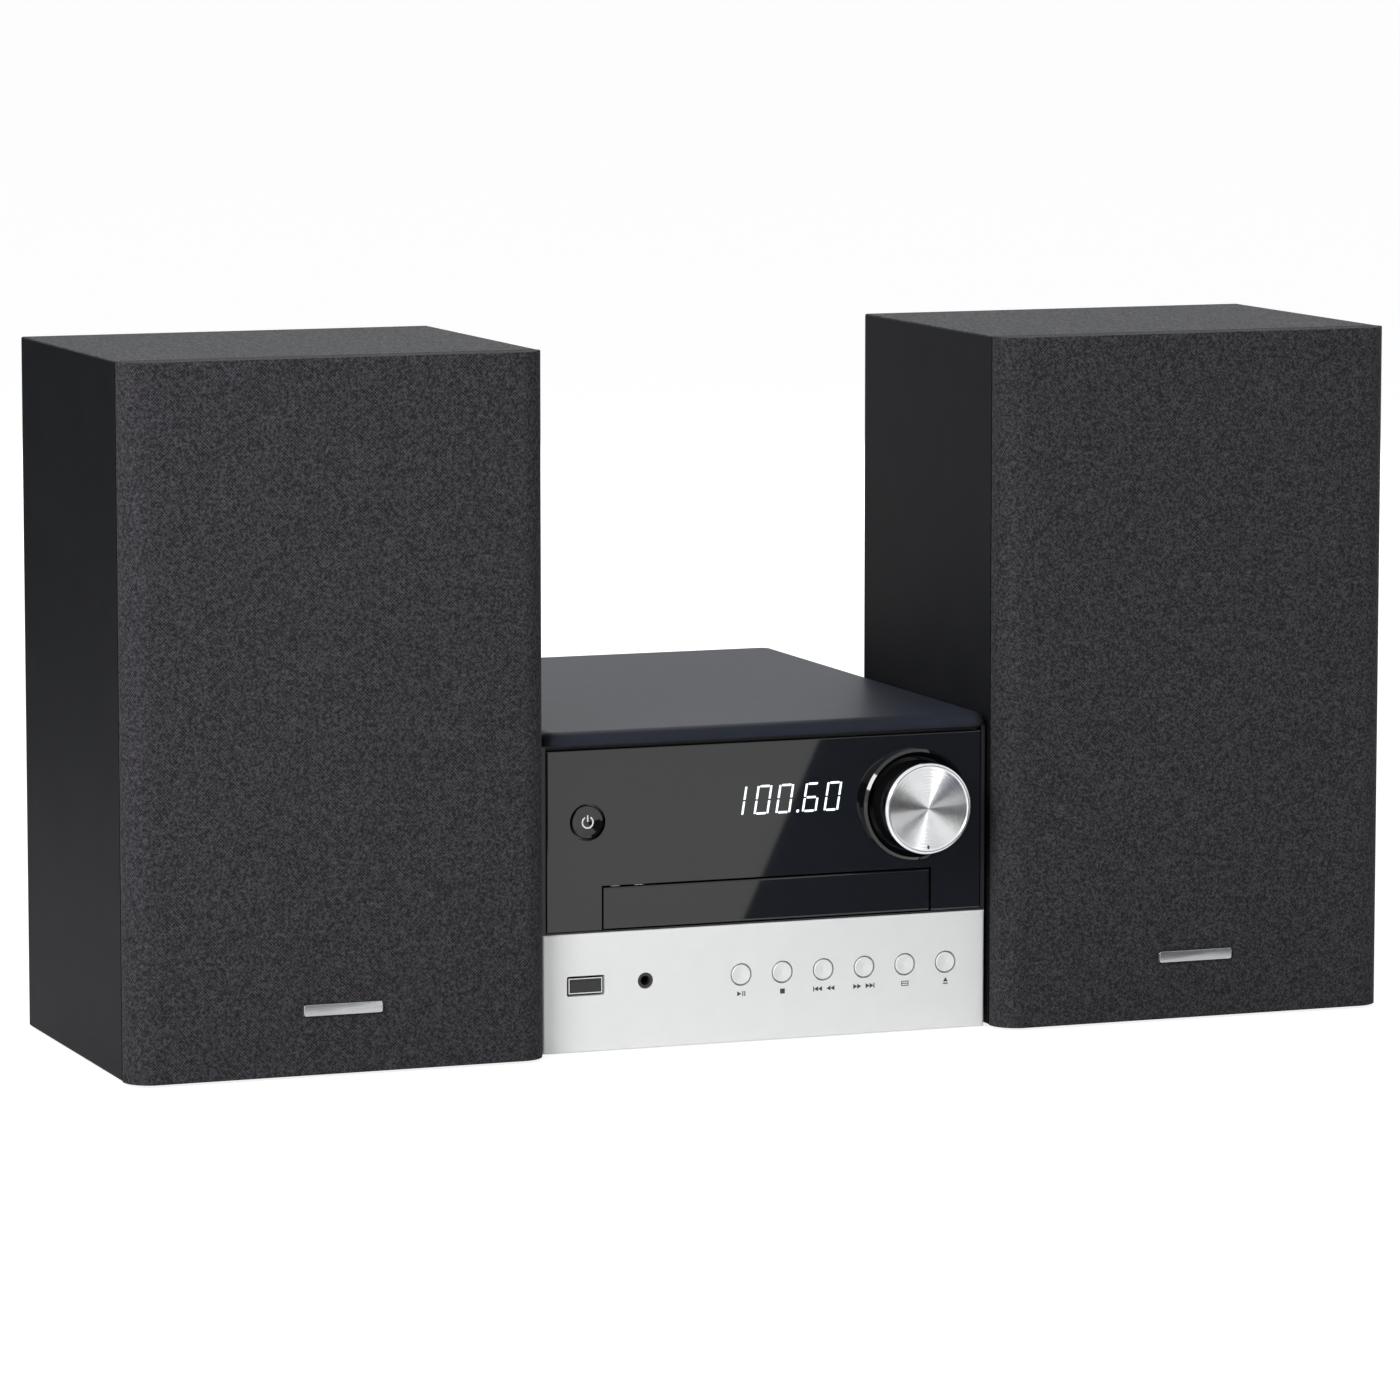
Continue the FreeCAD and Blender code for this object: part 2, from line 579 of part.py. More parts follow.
def make_drawer():
    """The tray with its disc wells, pickup slot and rack, and the front that closes the fascia."""
    x = (drive_across - tray_side, drive_across + tray_side)
    y = (deep(s.front_thickness), deep(s.front_thickness + s.tray_length))
    plate = block(x, y, (s.tray_bottom, tray_top))
    centre = deep(s.disc_centre)
    big = rod("z", drive_across, centre, (tray_top - s.disc_depth, tray_top + 1), s.disc_radius)
    small = rod("z", drive_across, centre, (tray_top - s.disc_depth - 1, tray_top), s.small_disc_radius)
    slot = block(around(drive_across, s.slot_width), (centre, centre + s.slot_length),
                 (s.tray_bottom - 1, tray_top + 1))
    eye = rod("z", drive_across, centre, (s.tray_bottom - 1, tray_top + 1), s.slot_width / 2)
    plate = cut(plate, big, small, slot, eye)
    keep("disc_drawer", group_rack(plate, y))
    front = slab("front", (drawer_left, drawer_right), (deep(0), deep(s.front_thickness)),
                 (s.gloss_bottom + s.clearance, s.drawer_top), edge=s.fascia_corner)
    keep("drawer_front", front)


def group_rack(plate, y):
    """The tray fused with a rack rib whose teeth face the pinion."""
    pitch = math.pi * float(s.gear_module)
    module = float(s.gear_module)
    edge = float(rack_edge)
    start = float(deep(s.gear_depth))
    low, high = float(y[0]) + 1, float(y[1]) - 1
    slope = math.tan(PRESSURE)
    thin = 0.06 * module
    points = [Vector(edge + 4 * module, low, 0), Vector(edge + 1.25 * module, low, 0)]
    first = math.ceil((low + pitch / 2 - start) / pitch)
    last = math.floor((high - pitch / 2 - start) / pitch)
    for tooth in range(first, last + 1):
        middle = start + tooth * pitch
        root = pitch / 4 + 1.25 * module * slope - thin
        tip = pitch / 4 - 0.9 * module * slope - thin
        points.append(Vector(edge + 1.25 * module, middle - root, 0))
        points.append(Vector(edge - 0.9 * module, middle - tip, 0))
        points.append(Vector(edge - 0.9 * module, middle + tip, 0))
        points.append(Vector(edge + 1.25 * module, middle + root, 0))
    points.append(Vector(edge + 1.25 * module, high, 0))
    points.append(Vector(edge + 4 * module, high, 0))
    face = Part.Face(Part.makePolygon(points + points[:1]))
    made = doc.addObject("Part::Feature", "rack")
    made.Shape = face.extrude(Vector(0, 0, float(s.rack_height)))
    made.Placement = Placement(Vector(0, 0, float(gear_bottom)), Rotation())
    return fuse(plate, made)


def involute_gear(module, teeth, bottom, top, x, y):
    """A spur gear on an upright axis, with a tooth gap facing the rack at rest."""
    pitch = module * teeth / 2
    base = pitch * math.cos(PRESSURE)
    tip = pitch + 0.9 * module
    root = pitch - 1.2 * module
    half_tooth = math.pi / (2 * teeth) - 0.06 * module / pitch
    spread = math.tan(PRESSURE) - PRESSURE
    flank = []
    for step in range(6):
        radius = max(base, root) + (tip - max(base, root)) * step / 5
        turn = math.acos(base / radius)
        flank.append((radius, half_tooth + spread - (math.tan(turn) - turn)))
    points = []
    for tooth in range(teeth):
        middle = 2 * math.pi * (tooth + 0.5) / teeth
        side = [(root, -flank[0][1])] + [(radius, -angle) for radius, angle in flank]
        other = [(radius, angle) for radius, angle in reversed(flank)] + [(root, flank[0][1])]
        for radius, angle in side + other:
            points.append(Vector(radius * math.cos(middle + angle), radius * math.sin(middle + angle), 0))
    face = Part.Face(Part.makePolygon(points + points[:1]))
    made = doc.addObject("Part::Feature", "spur_gear")
    made.Shape = face.extrude(Vector(0, 0, top - bottom))
    made.Placement = Placement(Vector(x, y, bottom), Rotation())
    return made


def make_loading_drive():
    """Motor, belt and compound gear that push the drawer in and out."""
    y = deep(s.gear_depth)
    belt_top = s.belt_level + s.belt_width
    groove = 0.8
    wheel = turned("up", gear_across, y, s.belt_level - groove, [
        (0, 0), (s.belt_wheel_radius + 1, 0), (s.belt_wheel_radius + 1, 0.5), (s.belt_wheel_radius, groove),
        (s.belt_wheel_radius, s.belt_width + groove), (s.belt_wheel_radius + 1, s.belt_width + groove + 0.3),
        (s.belt_wheel_radius + 1, s.belt_width + 2 * groove), (0, s.belt_width + 2 * groove)])
    pinion = involute_gear(float(s.gear_module), TEETH, float(belt_top), float(s.tray_bottom - 0.4),
                           float(gear_across), float(y))
    bore = rod("z", gear_across, y, (s.belt_level - 2, s.tray_bottom + 1), s.post_radius + s.running)
    keep("loading_gear", cut(fuse(wheel, pinion), bore))

    pulley = turned("up", motor_across, y, s.belt_level - groove, [
        (0, 0), (s.motor_wheel_radius + 1, 0), (s.motor_wheel_radius + 1, 0.5), (s.motor_wheel_radius, groove),
        (s.motor_wheel_radius, s.belt_width + groove), (s.motor_wheel_radius + 1, s.belt_width + groove + 0.3),
        (s.motor_wheel_radius + 1, s.belt_width + 2 * groove), (0, s.belt_width + 2 * groove)])
    shaft = rod("z", motor_across, y, (s.drive_floor - 1, s.belt_level), size(1))
    keep("motor_pulley", fuse(pulley, shaft))
    can = rod("z", motor_across, y, (s.drive_floor - s.motor_height, s.drive_floor), s.motor_radius)
    keep("loading_motor", cut(can, rod("z", motor_across, y, (s.drive_floor - 2, s.drive_floor + 1), size(1.06))))
    make_belt(y)


def make_belt(y):
    """A square-section belt round both pulleys, a running gap outside their grooves."""
    gap = float(s.running)
    wall = 0.8
    large, small = float(s.belt_wheel_radius), float(s.motor_wheel_radius)
    span = float(s.belt_span)

    def loop(grow):
        lean = math.asin((large - small) / span)
        big, little = large + grow, small + grow
        right = Vector(float(gear_across), float(y), 0)
        left = Vector(float(motor_across), float(y), 0)
        rise = Vector(-math.sin(lean), math.cos(lean), 0)
        fall = Vector(-math.sin(lean), -math.cos(lean), 0)
        arcs = [Part.Arc(right + fall * big, right + Vector(big, 0, 0), right + rise * big).toShape(),
                Part.LineSegment(right + rise * big, left + rise * little).toShape(),
                Part.Arc(left + rise * little, left - Vector(little, 0, 0), left + fall * little).toShape(),
                Part.LineSegment(left + fall * little, right + fall * big).toShape()]
        return Part.Face(Part.Wire(arcs))

    made = doc.addObject("Part::Feature", "belt")
    level = float(s.belt_level) + 0.3
    band = loop(gap + wall).extrude(Vector(0, 0, float(s.belt_width) - 0.6))
    hole = loop(gap).extrude(Vector(0, 0, float(s.belt_width) - 0.6))
    made.Shape = band.cut(hole)
    made.Placement = Placement(Vector(0, 0, level), Rotation())
    keep("drive_belt", made)


def make_drive_frame():
    """The moulded carcass: floor, side walls with drawer rails, hinge lugs, legs and clamp bridge."""
    side = tray_side + s.clearance
    outer = side + s.drive_wall
    front, back = deep(s.drive_front), deep(s.drive_back)
    floor = (s.drive_floor, s.drive_floor + s.drive_web)
    pieces = [block(around(drive_across, 2 * outer), (front, back), floor)]
    for way in (-1, 1):
        walls = sorted((way * side, way * outer), key=float)
        rails = sorted((way * (tray_side - 4), way * outer), key=float)
        pieces.append(block((drive_across + walls[0], drive_across + walls[1]), (front, back),
                            (s.drive_floor, s.drive_roof)))
        pieces.append(block((drive_across + rails[0], drive_across + rails[1]), (front, back),
                            (rail_top - 3, rail_top)))
        lug = sorted((way * (s.traverse_width / 2 + 1), way * (s.traverse_width / 2 + 5)), key=float)
        pieces.append(block((drive_across + lug[0], drive_across + lug[1]),
                            around(deep(s.hinge_depth), size(8)), (s.drive_floor, s.hinge_level + 4)))
        for place in (front + s.leg_inset, back - s.leg_inset):
            pieces.append(rod("z", drive_across + way * (outer - s.leg_inset), place,
                              (floor_top, s.drive_floor + 1), s.leg_radius))
    pieces.append(block(around(drive_across, 2 * outer), (back - s.drive_wall, back), (s.drive_floor, s.drive_roof)))
    pieces.append(rod("z", gear_across, deep(s.gear_depth), (s.drive_floor, s.tray_bottom - 0.6), s.post_radius))
    well = block(around(drive_across, s.traverse_width + 14),
                 (deep(s.gear_depth + 17), deep(s.hinge_depth) + 9), (s.drive_floor - 1, floor[1] + 1))
    keep_lugs = [block(around(drive_across + way * (s.traverse_width / 2 + 5), size(8)),
                       around(deep(s.hinge_depth), size(8)), (s.drive_floor - 2, s.hinge_level))
                 for way in (-1, 1)]
    shaft_hole = rod("z", motor_across, deep(s.gear_depth), (s.drive_floor - 1, floor[1] + 1), size(2))
    carcass = cut(fuse(*pieces), cut(well, *keep_lugs), shaft_hole,
                  rod("x", around(drive_across, s.traverse_width + 12), deep(s.hinge_depth), s.hinge_level,
                      s.post_radius + s.running))
    bridge = block(around(drive_across, 2 * outer), around(deep(s.disc_centre), s.bridge_length),
                   (s.drive_roof, s.drive_roof + 2))
    eye = rod("z", drive_across, deep(s.disc_centre), (s.drive_roof - 1, s.drive_roof + 3),
              s.clamp_radius + s.clearance)
    keep("drive_frame", group(carcass, cut(bridge, eye)))


def tilted(name, *pieces):
    """Hang finished pieces, modelled about the hinge pin, at the lowered angle."""
    made = group(*pieces) if len(pieces) > 1 else group(pieces[0])
    made.Placement = Placement(Vector(float(drive_across), float(deep(s.hinge_depth)), float(s.hinge_level)),
                               Rotation(Vector(1, 0, 0), float(s.tilt)))
    bind(made, "Placement.Base.x", drive_across)
    bind(made, "Placement.Base.y", deep(s.hinge_depth))
    bind(made, "Placement.Base.z", s.hinge_level)
    bind(made, "Placement.Rotation.Angle", s.tilt)
    return keep(name, made)


def make_traverse():
    """The hinged sub-chassis with its rods and spindle motor, the turntable and the pickup."""
    reach = s.hinge_depth - s.disc_centre
    wide = s.traverse_width / 2
    end = -s.traverse_length
    web = (size(-1), s.traverse_web - 1)
    plate = block(both(wide), (end, size(5)), web)
    window = block(both(s.rod_spread + 5), (-reach + s.motor_radius + 2, size(-8)), (size(-2), s.traverse_web))
    pins = [rod("x", (way * wide - 1, way * wide + 1 + way * 4.4) if way > 0 else (-wide - 5.4, -wide + 1),
                0, 0, s.post_radius) for way in (-1, 1)]
    knuckle = rod("x", both(wide), 0, 0, size(3.2))
    spindle_hole = rod("z", 0, -reach, (size(-2), s.traverse_web), size(1.4))
    sub_frame = cut(fuse(plate, knuckle, *pins), window, spindle_hole)
    lifts = [block(around(way * s.rod_spread, size(5)), (low, low + 4), (web[1] - 0.5, size(7)))
             for way in (-1, 1) for low in (-reach + s.motor_radius - 4, size(-8))]
    rods = [rod("y", way * s.rod_spread, (-reach + s.motor_radius - 3, size(-5)), size(4.6), s.rod_radius)
            for way in (-1, 1)]
    rod_holes = [rod("y", way * s.rod_spread, (-reach, size(0)), size(4.6), s.rod_radius) for way in (-1, 1)]
    frame = fuse(sub_frame, cut(group(*lifts), *rod_holes))
    motor = cut(rod("z", 0, -reach, (web[0] - s.motor_height, web[0]), s.motor_radius),
                rod("z", 0, -reach, (web[0] - 3, web[0] + 1), size(1.06)))
    tilted("traverse_frame", frame, *rods, motor)

    top = s.turntable_level
    table = turned("up", 0, -reach, 0, [
        (0, web[0] - 2), (1, web[0] - 2), (1, top - 3), (3, top - 3), (3, top - 1.6), (s.turntable_radius, top - 1.6),
        (s.turntable_radius, top), (s.hub_radius, top), (s.hub_radius, top + 1), (s.hub_radius - 1.6, top + s.hub_height),
        (0, top + s.hub_height)])
    tilted("turntable", table)

    y = -reach + s.sled_start
    body = block(both(s.rod_spread + 3.4), around(y, s.sled_length), (size(2.2), size(8)))
    bores = [rod("y", way * s.rod_spread, around(y, s.sled_length + 2), size(4.6), s.rod_radius + s.running)
             for way in (-1, 1)]
    tower = block(both(size(9)), around(y, size(18)), (size(7.5), size(12)))
    lens_ring = rod("z", 0, y, (size(11.5), size(14)), size(4))
    keep_clear = block(both(s.turntable_radius + 2), (-reach - 20, -reach + s.turntable_radius + 1),
                       (size(8), size(30)))
    tilted("laser_pickup", cut(fuse(cut(body, *bores), tower, lens_ring), keep_clear))


def make_clamp():
    """The disc clamp that hangs in the bridge."""
    top = s.drive_roof + 2 + s.clearance
    keep("disc_clamp", turned("up", drive_across, deep(s.disc_centre), 0, [
        (0, s.clamp_bottom + 4), (s.hub_radius + 0.8, s.clamp_bottom + 4), (s.hub_radius + 0.8, s.clamp_bottom),
        (s.clamp_radius, s.clamp_bottom), (s.clamp_radius, top), (s.clamp_lip, top), (s.clamp_lip, top + 1.2),
        (0, top + 1.2)]))


# ---- centre unit: electronics ----

def make_boards():
    """The main board under the drive, and the power supply behind it."""
    level = floor_top + s.board_stand
    top = level + s.board
    front, back = deep(s.drive_front + 2 * s.leg_inset + 4), deep(s.drive_back - 2 * s.leg_inset - 4)
    board = block((-half + 10, half - 10), (front, back), (level, top))
    posts = [rod("z", way * (half - 14), place, (floor_top, level), size(3))
             for way in (-1, 1) for place in (front + 4, back - 4)]
    sink_base = block((size(-66), size(-46)), (front + 10, back - 30), (top, top + 2.5))
    fins = [block((size(-66 + 4.6 * i), size(-64.4 + 4.6 * i)), (front + 10, back - 30), (top + 2, top + 12))
            for i in range(5)]
    chips = [block(around(size(x), size(w)), around(front + y, size(w)), (top, top + 1.6))
             for x, y, w in ((-25, 30, 14), (5, 50, 20), (10, 90, 12))]
    caps = [rod("z", size(x), front + y, (top, top + 10), size(5)) for x, y in ((52, 30), (52, 46), (52, 62))]
    keep("main_board", group(fuse(board, *posts), fuse(sink_base, *fins), *chips, *caps))

    y0 = deep(s.drive_back + 3)
    supply = block((size(-14), size(28)), (y0, deep(rear_front - 4)), (level, top))
    stand = [rod("z", size(x), y, (floor_top, level), size(3)) for x in (-9, 23) for y in (y0 + 4, deep(rear_front - 8))]
    core = block((size(34), size(80)), (y0 + 2, y0 + 24), (floor_top, floor_top + 52))
    window = [block(around(size(57 + 10.5 * way), size(7)), (y0, y0 + 30), (floor_top + 10, floor_top + 42))
              for way in (-1, 1)]
    coil = block((size(44), size(70)), (y0 - 1, y0 + 27), (floor_top + 11, floor_top + 41))
    tall = [rod("z", size(x), y0 + 14, (top, top + 30), size(7.5)) for x in (-3, 16)]
    keep("power_board", group(fuse(supply, *stand), fuse(cut(core, *window), coil), *tall))


# ---- loudspeakers ----

woofer_flange = s.woofer_hole + s.flange_width
surround_outer = s.woofer_hole - s.basket_wall
surround_inner = surround_outer - s.roll_width


def make_speaker(name, way):
    """One loudspeaker; way is -1 on the left and 1 on the right."""
    middle = way * (half + s.speaker_gap + s.speaker_width / 2)
    side = s.speaker_width / 2
    front = deep(-s.speaker_front)
    baffle_front = front + s.grille_depth + s.grille_seat
    back = front + s.speaker_depth
    baffle_back = baffle_front + s.baffle_depth
    bottom, top = s.pad_height, s.speaker_height
    spare = (top - bottom - 2 * s.speaker_wall - 2 * woofer_flange - 2 * s.tweeter_radius) / 3
    z_woofer = bottom + s.speaker_wall + spare + woofer_flange
    z_tweeter = top - s.speaker_wall - spare - s.tweeter_radius
    z_port, z_cup = z_tweeter, z_woofer
    split = z_woofer + woofer_flange + spare / 2
    x = around(middle, s.speaker_width)
    wall = s.speaker_wall

    box = slab("front", x, (baffle_front, back), (bottom, top), corner=size(0.8))
    cavity = block((x[0] + wall, x[1] - wall), (baffle_front - 1, back - wall), (bottom + wall, top - wall))
    port_hole = rod("y", middle, (back - wall - 1, back + 1), z_port, s.port_bore + s.port_wall)
    cup_hole = block(around(middle, s.cup_side - 8), (back - wall - 1, back + 1), around(z_cup, s.cup_side - 8))
    keep(f"{name}_cabinet", cut(box, cavity, port_hole, cup_hole))

    peg_places = [(middle + across * (side - wall - s.peg_inset), up) for across in (-1, 1)
                  for up in (bottom + wall + s.peg_inset, top - wall - s.peg_inset)]
    plate = block((x[0] + wall, x[1] - wall), (baffle_front, baffle_back), (bottom + wall, top - wall))
    through = (baffle_front - 1, baffle_back + 1)
    holes = [rod("y", middle, through, z_woofer, s.woofer_hole),
             rod("y", middle, (baffle_front - 1, baffle_front + s.flange_depth), z_woofer, woofer_flange + 0.3),
             rod("y", middle, through, z_tweeter, s.tweeter_hole),
             rod("y", middle, (baffle_front - 1, baffle_front + s.flange_depth), z_tweeter, s.tweeter_radius + 0.3)]
    sockets = [rod("y", across, (baffle_front - 1, baffle_front + s.peg_length + 1), up, s.peg_radius + 0.1)
               for across, up in peg_places]
    keep(f"{name}_baffle", cut(plate, *holes, *sockets))

    make_grille(name, middle, front, (bottom, split, top), peg_places, baffle_front)
    make_woofer(name, middle, baffle_front, z_woofer)
    make_tweeter(name, middle, baffle_front, z_tweeter)

    tube = turned("front", middle, back, z_port, [
        (s.port_bore, -s.port_length), (s.port_bore + s.port_wall, -s.port_length),
        (s.port_bore + s.port_wall, 0), (s.port_bore + 7, 0), (s.port_bore + 7, 1.2),
        (s.port_bore + s.port_wall * 0.7, 1.2), (s.port_bore, -5)])
    tube.Placement = Placement(tube.Placement.Base, FACING["back"])
    keep(f"{name}_port_tube", tube)

    make_terminal_cup(name, middle, back, z_cup)
    pads = [rod("z", middle + across * (side - 12), place, (0, s.pad_height), s.pad_radius)
            for across in (-1, 1) for place in (baffle_front + 12, back - 12)]
    keep(f"{name}_pads", group(*pads))


def make_grille(name, middle, front, levels, peg_places, baffle_front):
    """The grille: a frame with pegs and two windows, the cloth stretched over it, and a blank badge."""
    bottom, split, top = levels
    skin = s.cloth + 0.15
    x = around(middle, s.speaker_width - 2 * skin)
    z = (bottom + skin, top - skin)
    back = front + s.grille_depth
    half_width = (s.speaker_width - 2 * skin) / 2
    frame = round_front(x, (front + skin, back), z, s.grille_round - skin)
    windows = [block((middle - half_width + s.grille_bar, middle + half_width - s.grille_bar),
                     (front - 1, back + 1), span)
               for span in ((z[0] + s.grille_bar, split - s.grille_bar / 2),
                            (split + s.grille_bar / 2, z[1] - s.grille_bar))]
    pegs = [rod("y", across, (back - 2, baffle_front + s.peg_length), up, s.peg_radius)
            for across, up in peg_places]
    badge = slab("front", around(middle, s.badge_width), (front - 0.9, front - 0.02),
                 around(s.badge_up, s.badge_height), edge=size(0.4))
    keep(f"{name}_grille_frame", group(fuse(cut(frame, *windows), *pegs), badge))
    shell = round_front(around(middle, s.speaker_width), (front, back - 0.4), (bottom, top), s.grille_round)
    gap = size(0.15)
    core = round_front((x[0] - gap, x[1] + gap), (front + s.cloth, back + 1), (z[0] - gap, z[1] + gap),
                       s.grille_round - s.cloth)
    keep(f"{name}_grille_cloth", cut(shell, core))


def round_front(x, y, z, radius):
    """A block whose two upright front edges are rounded."""
    body = doc.addObject("PartDesign::Body", "round_front")
    sketch = new_sketch(body, "XY_Plane")
    outline(sketch, rectangle(size(x[1]) - x[0], size(y[1]) - y[0]))
    pad = body.newObject("PartDesign::Pad", "pad")
    pad.Profile = sketch
    bind(pad, "Length", size(z[1]) - z[0])
    rounded(body, radius, lambda edge, ends: is_upright(edge, ends) and abs(ends[0].y) < 1e-6)
    return put(body, "up", x[0], y[0], z[0])


def make_woofer(name, middle, plane, z):
    """Basket with magnet and screws, the cone with its coil, and the half-roll surround."""
    y0 = plane
    hole = s.woofer_hole - 0.5
    seat = surround_outer + 1.5
    basket = turned("back", middle, y0, z, [
        (seat, 0), (woofer_flange, 0), (woofer_flange, s.flange_depth), (hole, s.flange_depth),
        (hole, 14), (s.magnet_radius, 34), (s.magnet_radius, 37), (s.coil_radius + 6, 37), (s.coil_radius + 6, 34.5),
        (s.magnet_radius - 3, 34.5), (hole - 3, 14), (hole - 3, 5), (seat - 2.5, 5), (seat - 2.5, 3.3), (seat, 3.3)])
    ports = [block(around(middle, size(16)), (y0 + 17, y0 + 31), (z - 60, z + 60)),
             block((middle - 60, middle + 60), (y0 + 17, y0 + 31), around(z, size(16)))]
    cup = cut(rod("y", middle, (y0 + 37, y0 + 56), z, s.magnet_radius - 2),
              ring("y", middle, (y0 + 36, y0 + 46 + 2 * s.cone_travel), z, s.coil_radius + 0.9, s.coil_radius - 0.9))
    angles = [math.radians(45 + 90 * i) for i in range(4)]
    reach = woofer_flange - 4.2
    screws = [rod("y", middle + reach * round(math.cos(a), 6), (y0 - 1.2, y0), z + reach * round(math.sin(a), 6),
                  size(2.4)) for a in angles]
    keep(f"{name}_woofer_basket", group(cut(basket, *ports), cup, *screws))

    coil_out, coil_in = s.coil_radius + 0.35, s.coil_radius - 0.35
    rim = surround_inner
    cone = turned("back", middle, y0, z, [
        (0, 15), (coil_in, 15.6), (coil_in, 44), (coil_out, 44), (coil_out, 20), (rim, 3.2), (rim, 2.2),
        (rim - 2, 2.2), (coil_out + 1, 17.6), (coil_in - 2, 13), (0, 11)])
    keep(f"{name}_woofer_cone", cone)

    low, high = surround_inner + 0.3, surround_outer + 1.2
    span = high - low
    keep(f"{name}_woofer_surround", turned("back", middle, y0, z, [
        (low, 3.2), (low, 2.4), (low + span * 0.2, 0.4), (low + span * 0.5, -0.6), (low + span * 0.8, 0.4),
        (high, 2.4), (high, 3.2), (high - span * 0.12, 2.4), (low + span * 0.74, 1.0), (low + span * 0.5, 0.2),
        (low + span * 0.26, 1.0), (low + span * 0.12, 2.4)]))


def make_tweeter(name, middle, plane, z):
    """A dome tweeter: face plate with a shallow horn, dome, and magnet."""
    face = turned("back", middle, plane, z, [
        (s.dome_radius + 1, 2.2), (s.tweeter_radius - 5, 0), (s.tweeter_radius, 0), (s.tweeter_radius, s.flange_depth),
        (s.tweeter_hole - 1, s.flange_depth), (s.tweeter_hole - 1, 6), (s.dome_radius + 1, 6)])
    dome = turned("back", middle, plane, z, [
        (0, -0.6), (s.dome_radius * 0.5, 0.2), (s.dome_radius * 0.85, 2), (s.dome_radius, 4), (s.dome_radius, 6),
        (s.dome_radius - 1, 6), (s.dome_radius - 1, 4.4), (s.dome_radius * 0.5, 1), (0, 0.2)])
    magnet = rod("y", middle, (plane + 6, plane + 24), z, s.tweeter_hole - 2)
    keep(f"{name}_tweeter", group(face, dome, magnet))


def make_terminal_cup(name, middle, back, z):
    """The rear connection cup with two sockets, and the crossover board behind it."""
    wide = s.cup_side - 8 - s.clearance
    lip = cut(slab("front", around(middle, s.cup_side), (back, back + 1.4), around(z, s.cup_side), corner=size(5)),
              block(around(middle, wide - 6), (back - 1, back + 3), around(z, wide - 6)))
    tub = cut(block(around(middle, wide), (back - s.cup_recess - 2, back), around(z, wide)),
              block(around(middle, wide - 6), (back - s.cup_recess, back + 1), around(z, wide - 6)))
    posts = [rod("y", middle + side * s.socket_pitch / 2, (back - s.cup_recess - 6, back - 1), z, size(4.2))
             for side in (-1, 1)]
    bores = [rod("y", middle + side * s.socket_pitch / 2, (back - s.cup_recess - 4, back + 1), z, s.socket_bore)
             for side in (-1, 1)]
    cup = cut(fuse(tub, lip, *posts), *bores)
    deck = back - s.cup_recess - 6 - s.clearance
    board = block(around(middle, size(50)), (deck - s.board, deck), around(z, size(44)))
    capacitor = rod("x", around(middle - 6, size(24)), deck - s.board - 6, z + 12, size(6))
    inductor = ring("y", middle + 8, (deck - s.board - 12, deck - s.board), z - 8, size(11), size(5))
    keep(f"{name}_terminal_cup", group(cup, board, capacitor, inductor))


def main():
    """Build every sub-part, check it, and write one file each."""
    make_top_cover()
    make_chassis()
    make_silver_fascia()
    make_gloss_fascia()
    make_front_frame()
    make_rear_panel()
    make_rear_connectors()
    make_screws()
    make_volume_control()
    make_buttons()
    make_front_board()
    make_front_sockets()
    make_drawer()
    make_loading_drive()
    make_drive_frame()
    make_traverse()
    make_clamp()
    make_boards()
    make_speaker("left", -1)
    make_speaker("right", 1)
    doc.recompute()
    faults = [item.Name for item in doc.Objects if "Invalid" in item.State or "Error" in item.State]
    faults += [name for name, item in NODES.items() if item.Shape.isNull() or not item.Shape.isValid()]
    if faults:
        raise RuntimeError(f"failed objects: {faults}")
    os.makedirs("parts", exist_ok=True)
    for name, item in NODES.items():
        item.Shape.exportStep(f"parts/{name}.step")
    print(len(NODES), "nodes,", sum(len(item.Shape.Solids) for item in NODES.values()), "solids")


main()
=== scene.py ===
"""Looks of a shelf hifi: a disc and radio unit between two boxed speakers, dressed round its CAD frame."""

import logging
import math
from collections.abc import Iterable, Sequence
from dataclasses import dataclass, field
from enum import Enum

import bmesh
import bpy
from mathutils import Matrix, Vector


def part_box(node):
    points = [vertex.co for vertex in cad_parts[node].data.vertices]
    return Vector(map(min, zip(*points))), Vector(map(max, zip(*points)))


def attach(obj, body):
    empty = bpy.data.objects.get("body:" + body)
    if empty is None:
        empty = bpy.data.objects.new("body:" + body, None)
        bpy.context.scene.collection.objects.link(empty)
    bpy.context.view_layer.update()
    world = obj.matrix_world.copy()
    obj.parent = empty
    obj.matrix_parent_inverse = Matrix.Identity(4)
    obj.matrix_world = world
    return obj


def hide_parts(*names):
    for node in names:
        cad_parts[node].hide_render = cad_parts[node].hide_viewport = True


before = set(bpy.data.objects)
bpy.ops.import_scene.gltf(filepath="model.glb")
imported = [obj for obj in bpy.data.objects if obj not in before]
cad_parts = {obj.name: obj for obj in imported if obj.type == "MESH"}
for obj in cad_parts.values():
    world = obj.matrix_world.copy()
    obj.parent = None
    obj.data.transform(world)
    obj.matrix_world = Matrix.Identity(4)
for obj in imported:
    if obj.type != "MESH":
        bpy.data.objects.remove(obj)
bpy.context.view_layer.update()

log = logging.getLogger("shelf_hifi")

MM = 0.001  # metres in a millimetre
SPEAKER_MIDDLE = sum(corner.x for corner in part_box("right_cabinet")) / 2  # from the set's middle, in metres
TOUCHING = 1e-6  # points nearer than this, in metres, count as one
Colour = tuple[float, float, float]
Place = tuple[float, float, float]


# ---------------------------------------------------------------- shader maths


